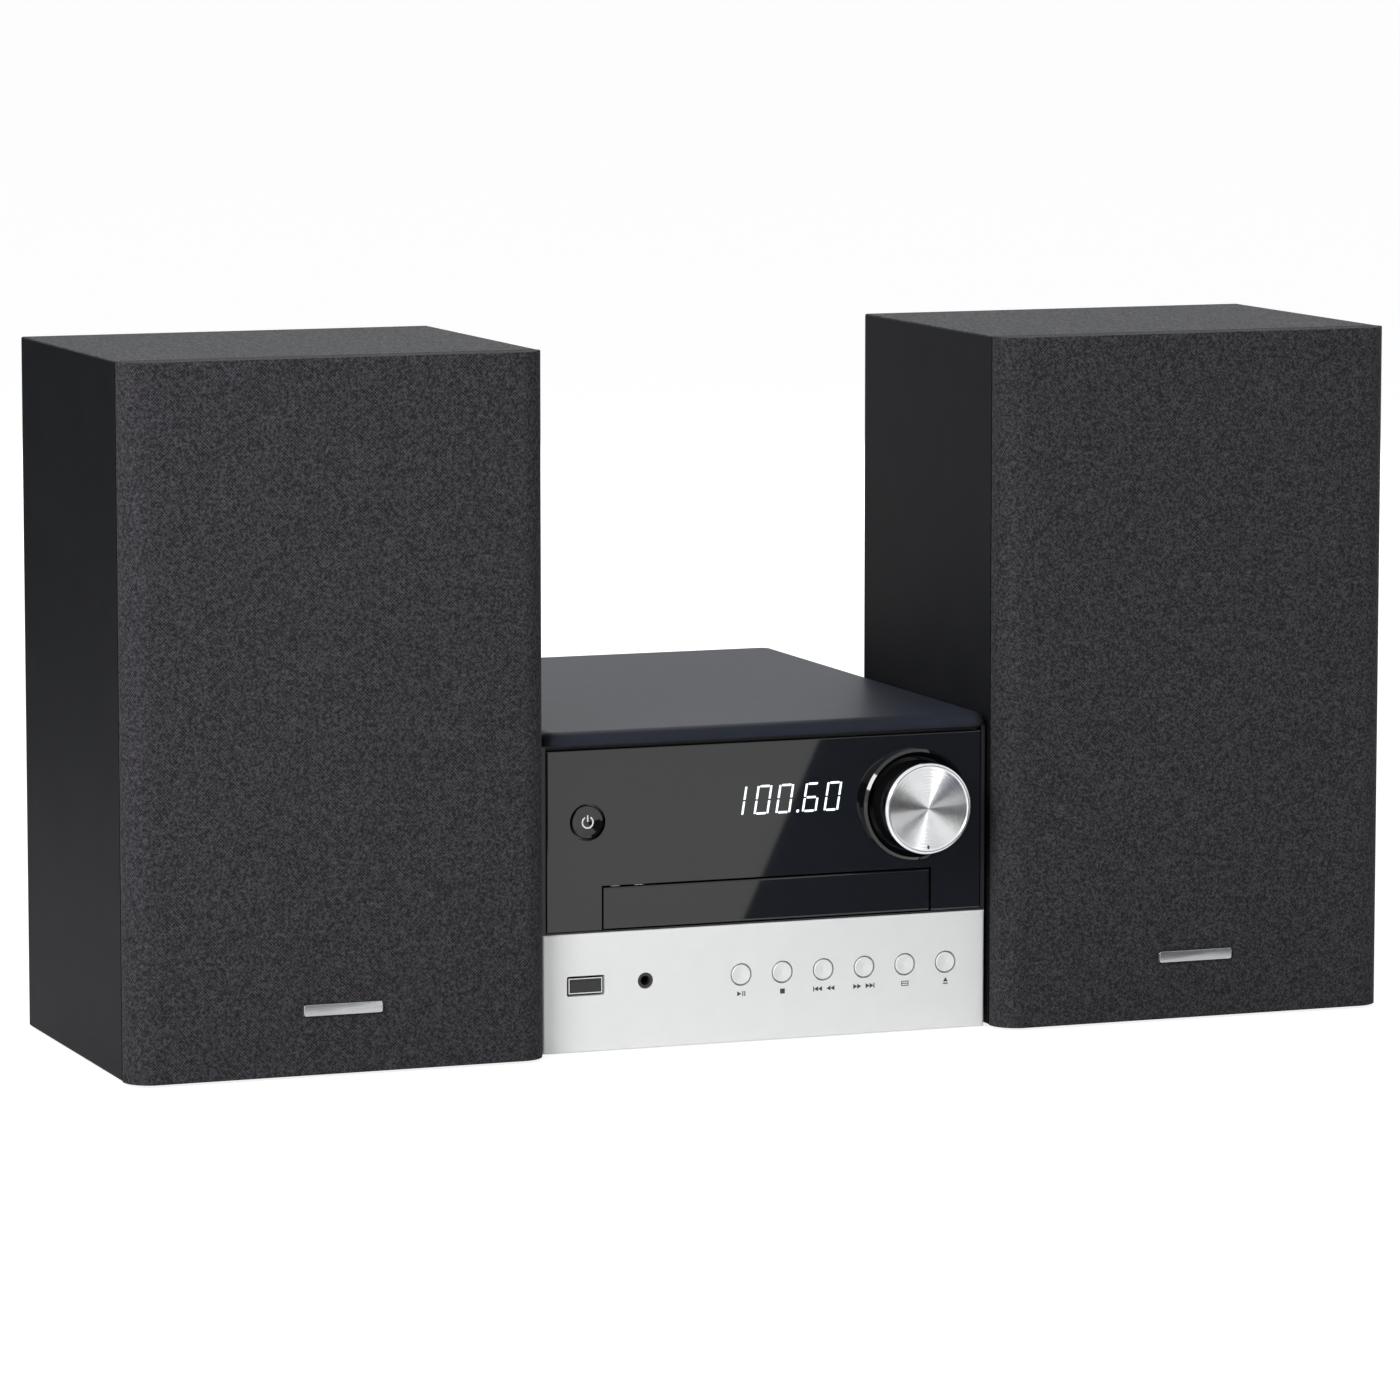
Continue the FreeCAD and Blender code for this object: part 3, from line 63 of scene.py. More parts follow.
class Wire:
    """A shader socket that can be written in sums."""

    def __init__(self, graph: "Graph", socket: bpy.types.NodeSocket) -> None:
        """Keeps the socket and the graph it belongs to."""
        self.graph = graph
        self.socket = socket

    def maths(self, operation: str, first: "Wire | float", second: "Wire | float" = 0.0) -> "Wire":
        """Adds one Math node.

        Args:
            operation: the node's operation.
            first: the value on its first socket.
            second: the value on its second socket.

        Returns:
            The node's result.
        """
        made = self.graph.node("ShaderNodeMath", {"operation": operation}, {0: first, 1: second})
        return Wire(self.graph, made.outputs[0])

    def __add__(self, other: "Wire | float") -> "Wire":
        """self + other."""
        return self.maths("ADD", self, other)

    def __radd__(self, other: float) -> "Wire":
        """other + self."""
        return self.maths("ADD", other, self)

    def __sub__(self, other: "Wire | float") -> "Wire":
        """self - other."""
        return self.maths("SUBTRACT", self, other)

    def __rsub__(self, other: float) -> "Wire":
        """other - self."""
        return self.maths("SUBTRACT", other, self)

    def __mul__(self, other: "Wire | float") -> "Wire":
        """self * other."""
        return self.maths("MULTIPLY", self, other)

    def __rmul__(self, other: float) -> "Wire":
        """other * self."""
        return self.maths("MULTIPLY", other, self)

    def sine(self) -> "Wire":
        """The sine of the value, in radians."""
        return self.maths("SINE", self)

    def size(self) -> "Wire":
        """The value without its sign."""
        return self.maths("ABSOLUTE", self)

    def at_least(self, other: "Wire | float") -> "Wire":
        """The larger of the two."""
        return self.maths("MAXIMUM", self, other)


class Graph:
    """The node graph of one material or of the world."""

    def __init__(self, tree: bpy.types.NodeTree) -> None:
        """Empties the tree."""
        self.tree = tree
        tree.nodes.clear()

    def node(self, kind: str, settings: dict | None = None, sockets: dict | None = None) -> bpy.types.Node:
        """Makes one node.

        Args:
            kind: the node's type.
            settings: its own settings, set first.
            sockets: the value or Wire of each input, by name or number.

        Returns:
            The node.
        """
        made = self.tree.nodes.new(kind)
        for key, value in (settings or {}).items():
            setattr(made, key, value)
        for key, value in (sockets or {}).items():
            if isinstance(value, Wire):
                self.tree.links.new(value.socket, made.inputs[key])
            else:
                made.inputs[key].default_value = value
        return made

    def wire(self, node: bpy.types.Node, output: str | int = 0) -> Wire:
        """One of a node's outputs as a Wire."""
        return Wire(self, node.outputs[output])

    def place(self) -> Wire:
        """The Object coordinates."""
        return self.wire(self.node("ShaderNodeTexCoord"), "Object")

    def parts(self, vector: Wire) -> tuple[Wire, Wire, Wire]:
        """The X, Y and Z of a vector."""
        made = self.node("ShaderNodeSeparateXYZ", None, {0: vector})
        return self.wire(made, 0), self.wire(made, 1), self.wire(made, 2)

    def noise(self, place: Wire, pitch: float, detail: float = 2.0, stretch: Place = (1, 1, 1)) -> Wire:
        """Soft noise.

        Args:
            place: the coordinates.
            pitch: the size of a grain, in millimetres.
            detail: how many finer layers it has.
            stretch: how much closer the grains lie along X, Y and Z.

        Returns:
            A value about 0.5.
        """
        turned = self.node("ShaderNodeMapping", None, {"Vector": place, "Scale": stretch})
        made = self.node(
            "ShaderNodeTexNoise",
            None,
            {"Vector": self.wire(turned), "Scale": 1 / (pitch * MM), "Detail": detail, "Roughness": 0.55},
        )
        return self.wire(made)

    def cells(self, place: Wire, pitch: float) -> Wire:
        """Distance to the nearest of scattered points, as a share of the millimetres between them."""
        made = self.node(
            "ShaderNodeTexVoronoi", {"feature": "F1"}, {"Vector": place, "Scale": 1 / (pitch * MM)}
        )
        return self.wire(made, "Distance")

    def spread(self, value: Wire, low: float, high: float) -> Wire:
        """value stretched, so that low becomes 0 and high becomes 1."""
        made = self.node("ShaderNodeMapRange", None, {0: value, 1: low, 2: high, 3: 0.0, 4: 1.0})
        return self.wire(made)

    def blend(self, share: Wire, low: Colour, high: Colour) -> Wire:
        """The colour between two, where share goes from 0 to 1."""
        made = self.node(
            "ShaderNodeMix",
            {"data_type": "RGBA"},
            {"Factor": share, 6: (*low, 1), 7: (*high, 1)},
        )
        return self.wire(made, 2)

    def show(self, shader: Wire, kind: str = "Material") -> None:
        """Ends the graph in a shader; kind is Material or World."""
        self.node(f"ShaderNodeOutput{kind}", None, {"Surface": shader})


def new_material(name: str) -> tuple[bpy.types.Material, Graph]:
    """A material with nothing in it yet, and its graph."""
    made = bpy.data.materials.new(name)
    made.use_nodes = True
    return made, Graph(made.node_tree)


# ---------------------------------------------------------------- finishes


class Pattern(Enum):
    """What a surface shows close up."""

    GRAIN = "fine sprayed or moulded grain"
    PEBBLE = "the pressed pebble of a vinyl wrap"
    BRUSHED = "long scratches along X"
    SPANGLE = "the crystals of zinc plate"
    WEAVE = "plain woven threads"
    FIBRE = "pressed paper fibres"
    BOARD = "solder mask over copper tracks"
    LAMINATE = "the stacked sheets of an iron core"


@dataclass(frozen=True)
class Finish:
    """One finish of the hifi, in plain numbers.

    Lengths are in millimetres. The pitch is the size of the pattern and the relief its depth, and
    the roughness wanders over it.
    """

    name: str
    colour: Colour
    second: Colour
    roughness: float
    wander: float = 0.08
    metallic: float = 0.0
    specular: float = 0.5
    coat: float = 0.0
    pattern: Pattern = Pattern.GRAIN
    pitch: float = 0.35
    relief: float = 0.01

    def drift(self, graph: Graph, place: Wire) -> Wire:
        """The slow change of shade over a large surface."""
        return graph.noise(place, 40 * self.pitch, 3)

    def grain(self, graph: Graph, place: Wire) -> tuple[Wire, Wire]:
        """Soft, even grain."""
        grain = graph.noise(place, self.pitch, 3)
        return grain, graph.spread(grain * 0.6 + self.drift(graph, place) * 0.4, 0.35, 0.65)

    def pebble(self, graph: Graph, place: Wire) -> tuple[Wire, Wire]:
        """Round bumps, with some wear on their crowns and pale flecks painted where the wrap faces up, a
        painted sheen of the top faces.

        Args:
            graph: the material's graph.
            place: the coordinates.

        Returns:
            The height and the share of the second colour.
        """
        bumps = 1 - graph.cells(place, self.pitch)
        fine = graph.noise(place, 0.45 * self.pitch, 3)
        height = bumps * 0.65 + fine * 0.35
        wear = graph.spread(height + self.drift(graph, place) * 0.3, 0.55, 1.05)
        # Painted sheen: pale flecks only on faces that point up, standing in for the top lamp's grazing
        # highlights on the bumps.
        facing = graph.wire(graph.node("ShaderNodeNewGeometry"), "Normal")
        upward_sheen = graph.parts(facing)[2].at_least(0.0)
        flecks = graph.spread(graph.noise(place, 1.5 * self.pitch, 3, (1.0, 0.45, 1.0)), 0.40, 0.68)
        # The share mixes real wear on the bump crowns with the painted sheen of the top faces.
        return height, wear * 0.12 + flecks * upward_sheen * 0.88

    def brushed(self, graph: Graph, place: Wire) -> tuple[Wire, Wire]:
        """Scratches drawn out along X."""
        lines = graph.noise(place, self.pitch, 2, (0.02, 1.0, 1.0))
        return lines, graph.spread(lines * 0.7 + self.drift(graph, place) * 0.3, 0.35, 0.65)

    def spangle(self, graph: Graph, place: Wire) -> tuple[Wire, Wire]:
        """Broad crystals with fine edges."""
        edges = graph.cells(place, 0.6 * self.pitch)
        return edges, graph.spread(graph.noise(place, self.pitch, 0) * 0.6 + edges * 0.4, 0.3, 0.7)

    def weave(self, graph: Graph, place: Wire) -> tuple[Wire, Wire]:
        """Threads that run on round the rounded edges, with the fluff and slubs of the yarn.

        Args:
            graph: the material's graph.
            place: the coordinates.

        Returns:
            The height and the share of the second colour.
        """
        x, y, z = graph.parts(place)
        turn = math.pi / (self.pitch * MM)
        across = ((x.size() - SPEAKER_MIDDLE).size() + y) * turn
        along = z * turn
        threads = across.sine() * along.sine() * 0.5 + 0.5
        fluff = graph.noise(place, 1.5 * self.pitch, 4)
        slubs = graph.noise(place, 3.4 * self.pitch, 2)
        flecks = graph.spread(fluff * 0.65 + slubs * 0.20 + threads * 0.15, 0.42, 0.66)
        return threads * 0.6 + fluff * 0.4, flecks

    def fibre(self, graph: Graph, place: Wire) -> tuple[Wire, Wire]:
        """Hairs that lie two ways."""
        hairs = graph.noise(place, self.pitch, 5, (1.0, 1.0, 0.35))
        mat = hairs * 0.5 + graph.noise(place, self.pitch, 5, (0.35, 1.0, 1.0)) * 0.5
        return mat, graph.spread(mat + self.drift(graph, place) * 0.4 - 0.2, 0.35, 0.65)

    def board(self, graph: Graph, place: Wire) -> tuple[Wire, Wire]:
        """Tracks along X."""
        tracks = graph.noise(place, self.pitch, 1, (0.15, 1.0, 1.0))
        return tracks, graph.spread(tracks, 0.52, 0.56)

    def laminate(self, graph: Graph, place: Wire) -> tuple[Wire, Wire]:
        """Sheets stacked along Y."""
        sheets = graph.noise(place, self.pitch, 1, (0.02, 1.0, 0.02))
        return sheets, graph.spread(sheets, 0.35, 0.65)

    def figure(self, graph: Graph, place: Wire) -> tuple[Wire, Wire]:
        """Draws the finish's own pattern.

        Args:
            graph: the material's graph.
            place: the coordinates.

        Returns:
            The pattern as a height and as a share of the second colour, both from 0 to 1.
        """
        draw = {
            Pattern.GRAIN: self.grain,
            Pattern.PEBBLE: self.pebble,
            Pattern.BRUSHED: self.brushed,
            Pattern.SPANGLE: self.spangle,
            Pattern.WEAVE: self.weave,
            Pattern.FIBRE: self.fibre,
            Pattern.BOARD: self.board,
            Pattern.LAMINATE: self.laminate,
        }
        return draw[self.pattern](graph, place)

    def material(self) -> bpy.types.Material:
        """The finish as a material, made once and then shared.

        Returns:
            The material.
        """
        found = bpy.data.materials.get("finish_" + self.name)
        if found:
            return found
        made, graph = new_material("finish_" + self.name)
        height, share = self.figure(graph, graph.place())
        bump = graph.node("ShaderNodeBump", None, {"Distance": self.relief * MM, "Height": height})
        body = graph.node(
            "ShaderNodeBsdfPrincipled",
            None,
            {
                "Base Color": graph.blend(share, self.colour, self.second),
                "Metallic": self.metallic,
                "Roughness": height * self.wander + (self.roughness - self.wander / 2),
                "Specular IOR Level": self.specular,
                "Coat Weight": self.coat,
                "Coat Roughness": 0.05,
                "Normal": graph.wire(bump),
            },
        )
        graph.show(graph.wire(body))
        return made


@dataclass(frozen=True)
class Glow:
    """The lit segments of the display, with the slight unevenness of a real one."""

    name: str = "lit_segment"
    colour: Colour = (0.86, 0.93, 1.0)
    dimmest: float = 0.86
    strength: float = 1.0
    roughness: float = 0.4
    pitch: float = 1.5

    def material(self) -> bpy.types.Material:
        """The glow as a material.

        Returns:
            The material.
        """
        made, graph = new_material("finish_" + self.name)
        share = graph.spread(graph.noise(graph.place(), self.pitch, 1), 0.3, 0.7)
        dim = tuple(self.dimmest * part for part in self.colour)
        body = graph.node(
            "ShaderNodeBsdfPrincipled",
            None,
            {
                "Base Color": (*dim, 1),
                "Roughness": self.roughness,
                "Emission Color": graph.blend(share, dim, self.colour),
                "Emission Strength": self.strength,
            },
        )
        graph.show(graph.wire(body))
        return made


FINISHES: dict[str, Finish] = {
    finish.name: finish
    for finish in (
        Finish("lid_paint", (0.018, 0.021, 0.029), (0.026, 0.030, 0.041), roughness=0.42, wander=0.1,
               specular=0.05, pitch=0.3, relief=0.006),
        Finish("rear_paint", (0.018, 0.018, 0.020), (0.030, 0.030, 0.032), roughness=0.55, wander=0.15,
               pitch=0.5, relief=0.03),
        Finish("chassis_steel", (0.50, 0.51, 0.52), (0.62, 0.63, 0.64), roughness=0.42, wander=0.15,
               metallic=1.0, pattern=Pattern.SPANGLE, pitch=9.0),
        Finish("silver_panel", (0.83, 0.84, 0.84), (0.865, 0.876, 0.875), roughness=0.42, metallic=0.15,
               pitch=0.22, relief=0.004),
        Finish("silver_key", (0.800, 0.810, 0.815), (0.87, 0.88, 0.88), roughness=0.48, metallic=0.1,
               pattern=Pattern.BRUSHED, pitch=0.18, relief=0.004),
        Finish("gloss_black", (0.0040, 0.0044, 0.0055), (0.0055, 0.0060, 0.0072), roughness=0.05,
               wander=0.03, coat=0.3, pitch=2.5, relief=0.0004),
        Finish("frame_black", (0.012, 0.012, 0.013), (0.020, 0.020, 0.022), roughness=0.45, wander=0.12,
               relief=0.02),
        Finish("knob_black", (0.0045, 0.0048, 0.0055), (0.007, 0.007, 0.008), roughness=0.1, wander=0.04,
               coat=0.3, pitch=1.5, relief=0.0006),
        Finish("knob_face", (0.760, 0.765, 0.770), (0.840, 0.845, 0.850), roughness=0.17, wander=0.06,
               metallic=1.0, pitch=0.12, relief=0.002),
        Finish("connector_black", (0.014, 0.014, 0.015), (0.024, 0.024, 0.026), roughness=0.38,
               wander=0.12, relief=0.015),
        Finish("bright_steel", (0.60, 0.61, 0.62), (0.72, 0.72, 0.72), roughness=0.24, wander=0.12,
               metallic=1.0, pattern=Pattern.BRUSHED, pitch=0.2, relief=0.004),
        Finish("board_green", (0.012, 0.070, 0.030), (0.035, 0.160, 0.065), roughness=0.32, wander=0.1,
               pattern=Pattern.BOARD, pitch=1.6, relief=0.035),
        Finish("supply_iron", (0.13, 0.13, 0.14), (0.26, 0.25, 0.24), roughness=0.45, wander=0.15,
               metallic=0.8, pattern=Pattern.LAMINATE, pitch=0.5, relief=0.06),
        Finish("drive_plastic", (0.020, 0.020, 0.022), (0.034, 0.034, 0.037), roughness=0.42, wander=0.12,
               relief=0.015),
        Finish("gear_plastic", (0.62, 0.60, 0.54), (0.72, 0.70, 0.64), roughness=0.38, wander=0.1,
               relief=0.006),
        Finish("motor_steel", (0.52, 0.52, 0.53), (0.64, 0.64, 0.65), roughness=0.3, wander=0.12,
               metallic=1.0, pattern=Pattern.BRUSHED, pitch=0.25, relief=0.006),
        Finish("soft_rubber", (0.014, 0.014, 0.015), (0.026, 0.026, 0.027), roughness=0.62, wander=0.14,
               specular=0.35, pitch=0.6, relief=0.02),
        # cabinet_vinyl: its pale second colour serves both the wear on the bump crowns and the painted sheen
        # of flecks on the top faces.
        Finish("cabinet_vinyl", (0.0055, 0.0059, 0.0074), (0.085, 0.088, 0.096), roughness=0.55,
               wander=0.2, specular=0.04, pattern=Pattern.PEBBLE, pitch=0.55, relief=0.045),
        Finish("baffle_board", (0.012, 0.012, 0.013), (0.022, 0.022, 0.024), roughness=0.6, wander=0.14,
               specular=0.4, pattern=Pattern.FIBRE, pitch=0.7, relief=0.02),
        Finish("grille_plastic", (0.013, 0.013, 0.014), (0.022, 0.022, 0.023), roughness=0.5, wander=0.12,
               relief=0.02),
        Finish("grille_fabric", (0.0130, 0.0122, 0.0147), (0.076, 0.073, 0.082), roughness=0.85,
               wander=0.12, specular=0.15, pattern=Pattern.WEAVE, pitch=0.62, relief=0.22),
        Finish("basket_steel", (0.020, 0.020, 0.021), (0.036, 0.036, 0.038), roughness=0.4, wander=0.12,
               metallic=0.2, relief=0.02),
        Finish("cone_paper", (0.020, 0.020, 0.021), (0.052, 0.051, 0.050), roughness=0.72, wander=0.14,
               specular=0.3, pattern=Pattern.FIBRE, pitch=0.9, relief=0.06),
        Finish("tweeter_black", (0.010, 0.010, 0.011), (0.020, 0.020, 0.021), roughness=0.3, wander=0.1,
               relief=0.008),
        Finish("dark_ink", (0.030, 0.032, 0.036), (0.050, 0.052, 0.056), roughness=0.5, pitch=0.3,
               relief=0.002),
        Finish("white_ink", (0.74, 0.75, 0.76), (0.84, 0.84, 0.84), roughness=0.5, pitch=0.3, relief=0.002),
        Finish("collar_red", (0.420, 0.012, 0.010), (0.500, 0.020, 0.016), roughness=0.35, wander=0.1,
               relief=0.004),
        Finish("collar_black", (0.010, 0.010, 0.011), (0.018, 0.018, 0.019), roughness=0.35, wander=0.1,
               relief=0.004),
        Finish("badge_metal", (0.40, 0.41, 0.42), (0.52, 0.53, 0.54), roughness=0.3, wander=0.1,
               metallic=1.0, pattern=Pattern.BRUSHED, pitch=0.2, relief=0.004),
    )
}


# ---------------------------------------------------------------- making pieces


def placed(
    shape: bmesh.types.BMesh, name: str, material: bpy.types.Material
) -> bpy.types.Object:
    """Makes an object of a bmesh, and puts it in the scene.

    Args:
        shape: the shape, in metres in the row frame; it is freed.
        name: the object's name, and its mesh's.
        material: what it is made of.

    Returns:
        The object.
    """
    mesh = bpy.data.meshes.new(name)
    shape.to_mesh(mesh)
    shape.free()
    mesh.materials.append(material)
    piece = bpy.data.objects.new(name, mesh)
    bpy.context.scene.collection.objects.link(piece)
    return piece


def hand_over(
    shape: bmesh.types.BMesh,
    name: str,
    finish: Finish | Glow,
    body: str,
    sharp: float = 35.0,
) -> bpy.types.Object:
    """Makes an object of a finished bmesh, and lets it ride.

    Args:
        shape: the shape, in metres in the row frame; it is freed.
        name: the piece's name.
        finish: what it is made of.
        body: the body that carries it.
        sharp: edges that turn by more degrees than this stay sharp.

    Returns:
        The object.
    """
    piece = placed(shape, name, finish.material())
    piece.data.shade_smooth()
    piece.data.set_sharp_from_angle(angle=math.radians(sharp))
    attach(piece, body)
    log.info("%s rides on %s, %d faces", name, body, len(piece.data.polygons))
    return piece


def bevel(shape: bmesh.types.BMesh, edges: Iterable[bmesh.types.BMEdge], radius: float, steps: int) -> dict:
    """Rounds some edges; radius is in millimetres."""
    return bmesh.ops.bevel(
        shape, geom=list(edges), offset=radius * MM, segments=steps, affect="EDGES", profile=0.5, material=-1
    )


def add_block(
    shape: bmesh.types.BMesh, low: Sequence[float], high: Sequence[float], corner: float = 0.0
) -> None:
    """Adds a block between two corners, in millimetres.

    Args:
        shape: the bmesh that takes it.
        low: its lowest corner.
        high: its highest corner.
        corner: the radius of its edges along Y.
    """
    made = bmesh.ops.create_cube(shape, size=1.0)["verts"]
    middle = [(a + b) / 2 * MM for a, b in zip(low, high)]
    size = [(b - a) * MM for a, b in zip(low, high)]
    bmesh.ops.scale(shape, vec=size, verts=made)
    if corner:
        edges = {
            edge for vert in made for edge in vert.link_edges
            if abs((edge.verts[0].co - edge.verts[1].co).y) > size[1] / 2
        }
        rounded = bevel(shape, edges, corner, 4)
        made = list({v for face in rounded["faces"] for v in face.verts} | {v for v in made if v.is_valid})
    bmesh.ops.translate(shape, vec=middle, verts=made)


def add_arrow(
    shape: bmesh.types.BMesh, middle: Sequence[float], radius: float, turn: float, thick: float
) -> None:
    """Adds a flat arrowhead, in millimetres.

    Args:
        shape: the bmesh that takes it.
        middle: the middle of the arrowhead.
        radius: from the middle to its three tips.
        turn: where it points, in degrees from +X towards +Z.
        thick: its thickness along Y.
    """
    made = bmesh.ops.create_cone(
        shape, cap_ends=True, segments=3, radius1=radius * MM, radius2=radius * MM, depth=thick * MM
    )["verts"]
    stand = Matrix.Rotation(math.radians(-turn), 4, "Y") @ Matrix.Rotation(math.radians(90), 4, "X")
    tip = Matrix.Rotation(math.radians(-90), 4, "Z")
    bmesh.ops.transform(shape, matrix=stand @ tip, verts=made)
    bmesh.ops.translate(shape, vec=[part * MM for part in middle], verts=made)


def turn_profile(
    profile: Iterable[tuple[float, float]], centre: tuple[float, float], steps: int
) -> bmesh.types.BMesh:
    """Spins a line of (radius, y) points about an axis along Y.

    Args:
        profile: the points, in millimetres.
        centre: the axis, as x and z in millimetres.
        steps: how many faces go round.

    Returns:
        The closed, outward-facing shape.
    """
    shape = bmesh.new()
    points = [shape.verts.new((radius * MM, y * MM, 0)) for radius, y in profile]
    lines = [shape.edges.new(pair) for pair in zip(points, points[1:])]
    bmesh.ops.spin(
        shape,
        geom=points + lines,
        cent=(0, 0, 0),
        axis=(0, 1, 0),
        angle=math.tau,
        steps=steps,
        use_merge=True,
    )
    bmesh.ops.remove_doubles(shape, verts=shape.verts, dist=TOUCHING)
    bmesh.ops.translate(shape, vec=(centre[0] * MM, 0, centre[1] * MM), verts=shape.verts)
    bmesh.ops.recalc_face_normals(shape, faces=shape.faces)
    return shape


def middle_of(node: str) -> tuple[float, float]:
    """The x and z of the middle of a CAD node, in millimetres."""
    low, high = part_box(node)
    return (low.x + high.x) / 2 / MM, (low.z + high.z) / 2 / MM


def front_of(node: str) -> float:
    """The y of a CAD node's foremost point, in millimetres."""
    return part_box(node)[0].y / MM


def back_of(node: str) -> float:
    """The y of a CAD node's rearmost point, in millimetres."""
    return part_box(node)[1].y / MM


# ---------------------------------------------------------------- sub-assemblies


@dataclass
class VolumeKnob:
    """The spun cap of the volume knob, turned with fine grooves, and its pointer.

    Lengths are in millimetres. The grooves' slopes, in degrees, take turns; the rounding gives the
    outer edge's points, each as far in from the rim and as far back from the front as it says.
    """

    grooves: int = 90
    slopes: tuple[float, ...] = (11.0, 15.0, 13.0, 19.0, 12.0, 17.0, 14.0)
    flat_radius: float = 15.5
    rim_step: float = 0.35
    rim_width: float = 0.5
    rounding: tuple[tuple[float, float], ...] = ((0.9, 0.0), (0.25, 0.45), (0.0, 0.8))
    sides: int = 160
    groove_sharp: float = 4.0
    pointer_half: float = 0.4
    pointer_reach: tuple[float, float] = (1.9, 3.3)
    pointer_proud: float = 0.12
    pointer_sunk: float = 0.10

    def profile(self, radius: float, front: float, back: float) -> list[tuple[float, float]]:
        """The half section from the axis round to the back, in millimetres.

        Args:
            radius: the cap's radius.
            front: the y of its foremost point.
            back: the y of its back.

        Returns:
            The points, as radius and y.
        """
        face = front + self.rim_step
        pitch = self.flat_radius / self.grooves
        points = [(0.0, face)]
        for groove in range(self.grooves):
            depth = pitch / 2 * math.tan(math.radians(self.slopes[groove % len(self.slopes)]))
            points += [((groove + 0.5) * pitch, face + depth), ((groove + 1) * pitch, face)]
        points.append((self.flat_radius + self.rim_width, front))
        points += [(radius - inset, front + deep) for inset, deep in self.rounding]
        return points + [(radius, back), (0.0, back)]

    def build(self) -> None:
        """Makes the cap and its pointer."""
        low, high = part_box("knob_cap")
        centre = middle_of("knob_cap")
        radius = (high.x - low.x) / 2 / MM
        shape = turn_profile(self.profile(radius, low.y / MM, high.y / MM), centre, self.sides)
        cap = hand_over(shape, "knob_cap_spun", FINISHES["knob_face"], "knob", self.groove_sharp)
        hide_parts("knob_cap")
        mark = bmesh.new()
        face = low.y / MM + self.rim_step
        half, bottom = self.pointer_half, centre[1] - radius
        add_block(
            mark,
            (centre[0] - half, face - self.pointer_proud, bottom + self.pointer_reach[0]),
            (centre[0] + half, face + self.pointer_sunk, bottom + self.pointer_reach[1]),
            half,
        )
        hand_over(mark, "knob_pointer", FINISHES["dark_ink"], "knob")


@dataclass
class Display:
    """The leaning seven-segment figures that shine through the gloss front.

    Lengths are in millimetres, and the lean is in degrees. The figures stand from low to high above
    the shelf, and start where starts says.
    """

    body: str = "main_unit"
    proud: float = 0.05
    low: float = 86.0
    high: float = 97.0
    wide: float = 5.9
    bar: float = 0.82
    gap: float = 0.28
    bar_corner: float = 0.22
    lean: float = 9.0
    starts: tuple[float, ...] = (-15.1, -5.1, 3.6, 14.2, 22.9)
    figures: str = "10060"
    point: float = 12.0
    point_size: tuple[float, float] = (1.0, 1.1)
    point_corner: float = 0.3
    lit: dict[str, str] = field(default_factory=lambda: {"0": "abcdef", "1": "bc", "6": "acdefg"})

    def segments(self) -> dict[str, tuple[float, float, float, float]]:
        """Where each segment lies in its cell.

        Returns:
            Each segment's left, right, bottom and top, in millimetres.
        """
        tall = self.high - self.low
        half = tall / 2
        edge, cut = self.bar, self.gap
        right = self.wide - edge
        return {
            "a": (edge + cut, right - cut, tall - edge, tall),
            "g": (edge + cut, right - cut, half - edge / 2, half + edge / 2),
            "d": (edge + cut, right - cut, 0, edge),
            "f": (0, edge, half + cut, tall - cut),
            "b": (right, self.wide, half + cut, tall - cut),
            "e": (0, edge, cut, half - cut),
            "c": (right, self.wide, cut, half - cut),
        }

    def build(self) -> None:
        """Makes all the lit segments as one piece."""
        middle = front_of("gloss_fascia")
        front, back = middle - self.proud, middle + self.proud
        shape = bmesh.new()
        places = self.segments()
        for start, figure in zip(self.starts, self.figures):
            for name in self.lit[figure]:
                left, right, bottom, top = places[name]
                add_block(shape, (start + left, front, bottom), (start + right, back, top), self.bar_corner)
        wide, tall = self.point_size
        add_block(shape, (self.point, front, 0), (self.point + wide, back, tall), self.point_corner)
        shear = Matrix.Identity(4)
        shear[0][2] = math.tan(math.radians(self.lean))
        bmesh.ops.transform(shape, matrix=shear, verts=shape.verts)
        bmesh.ops.translate(shape, vec=(0, 0, self.low * MM), verts=shape.verts)
        hand_over(shape, "display_figures", Glow(), self.body)


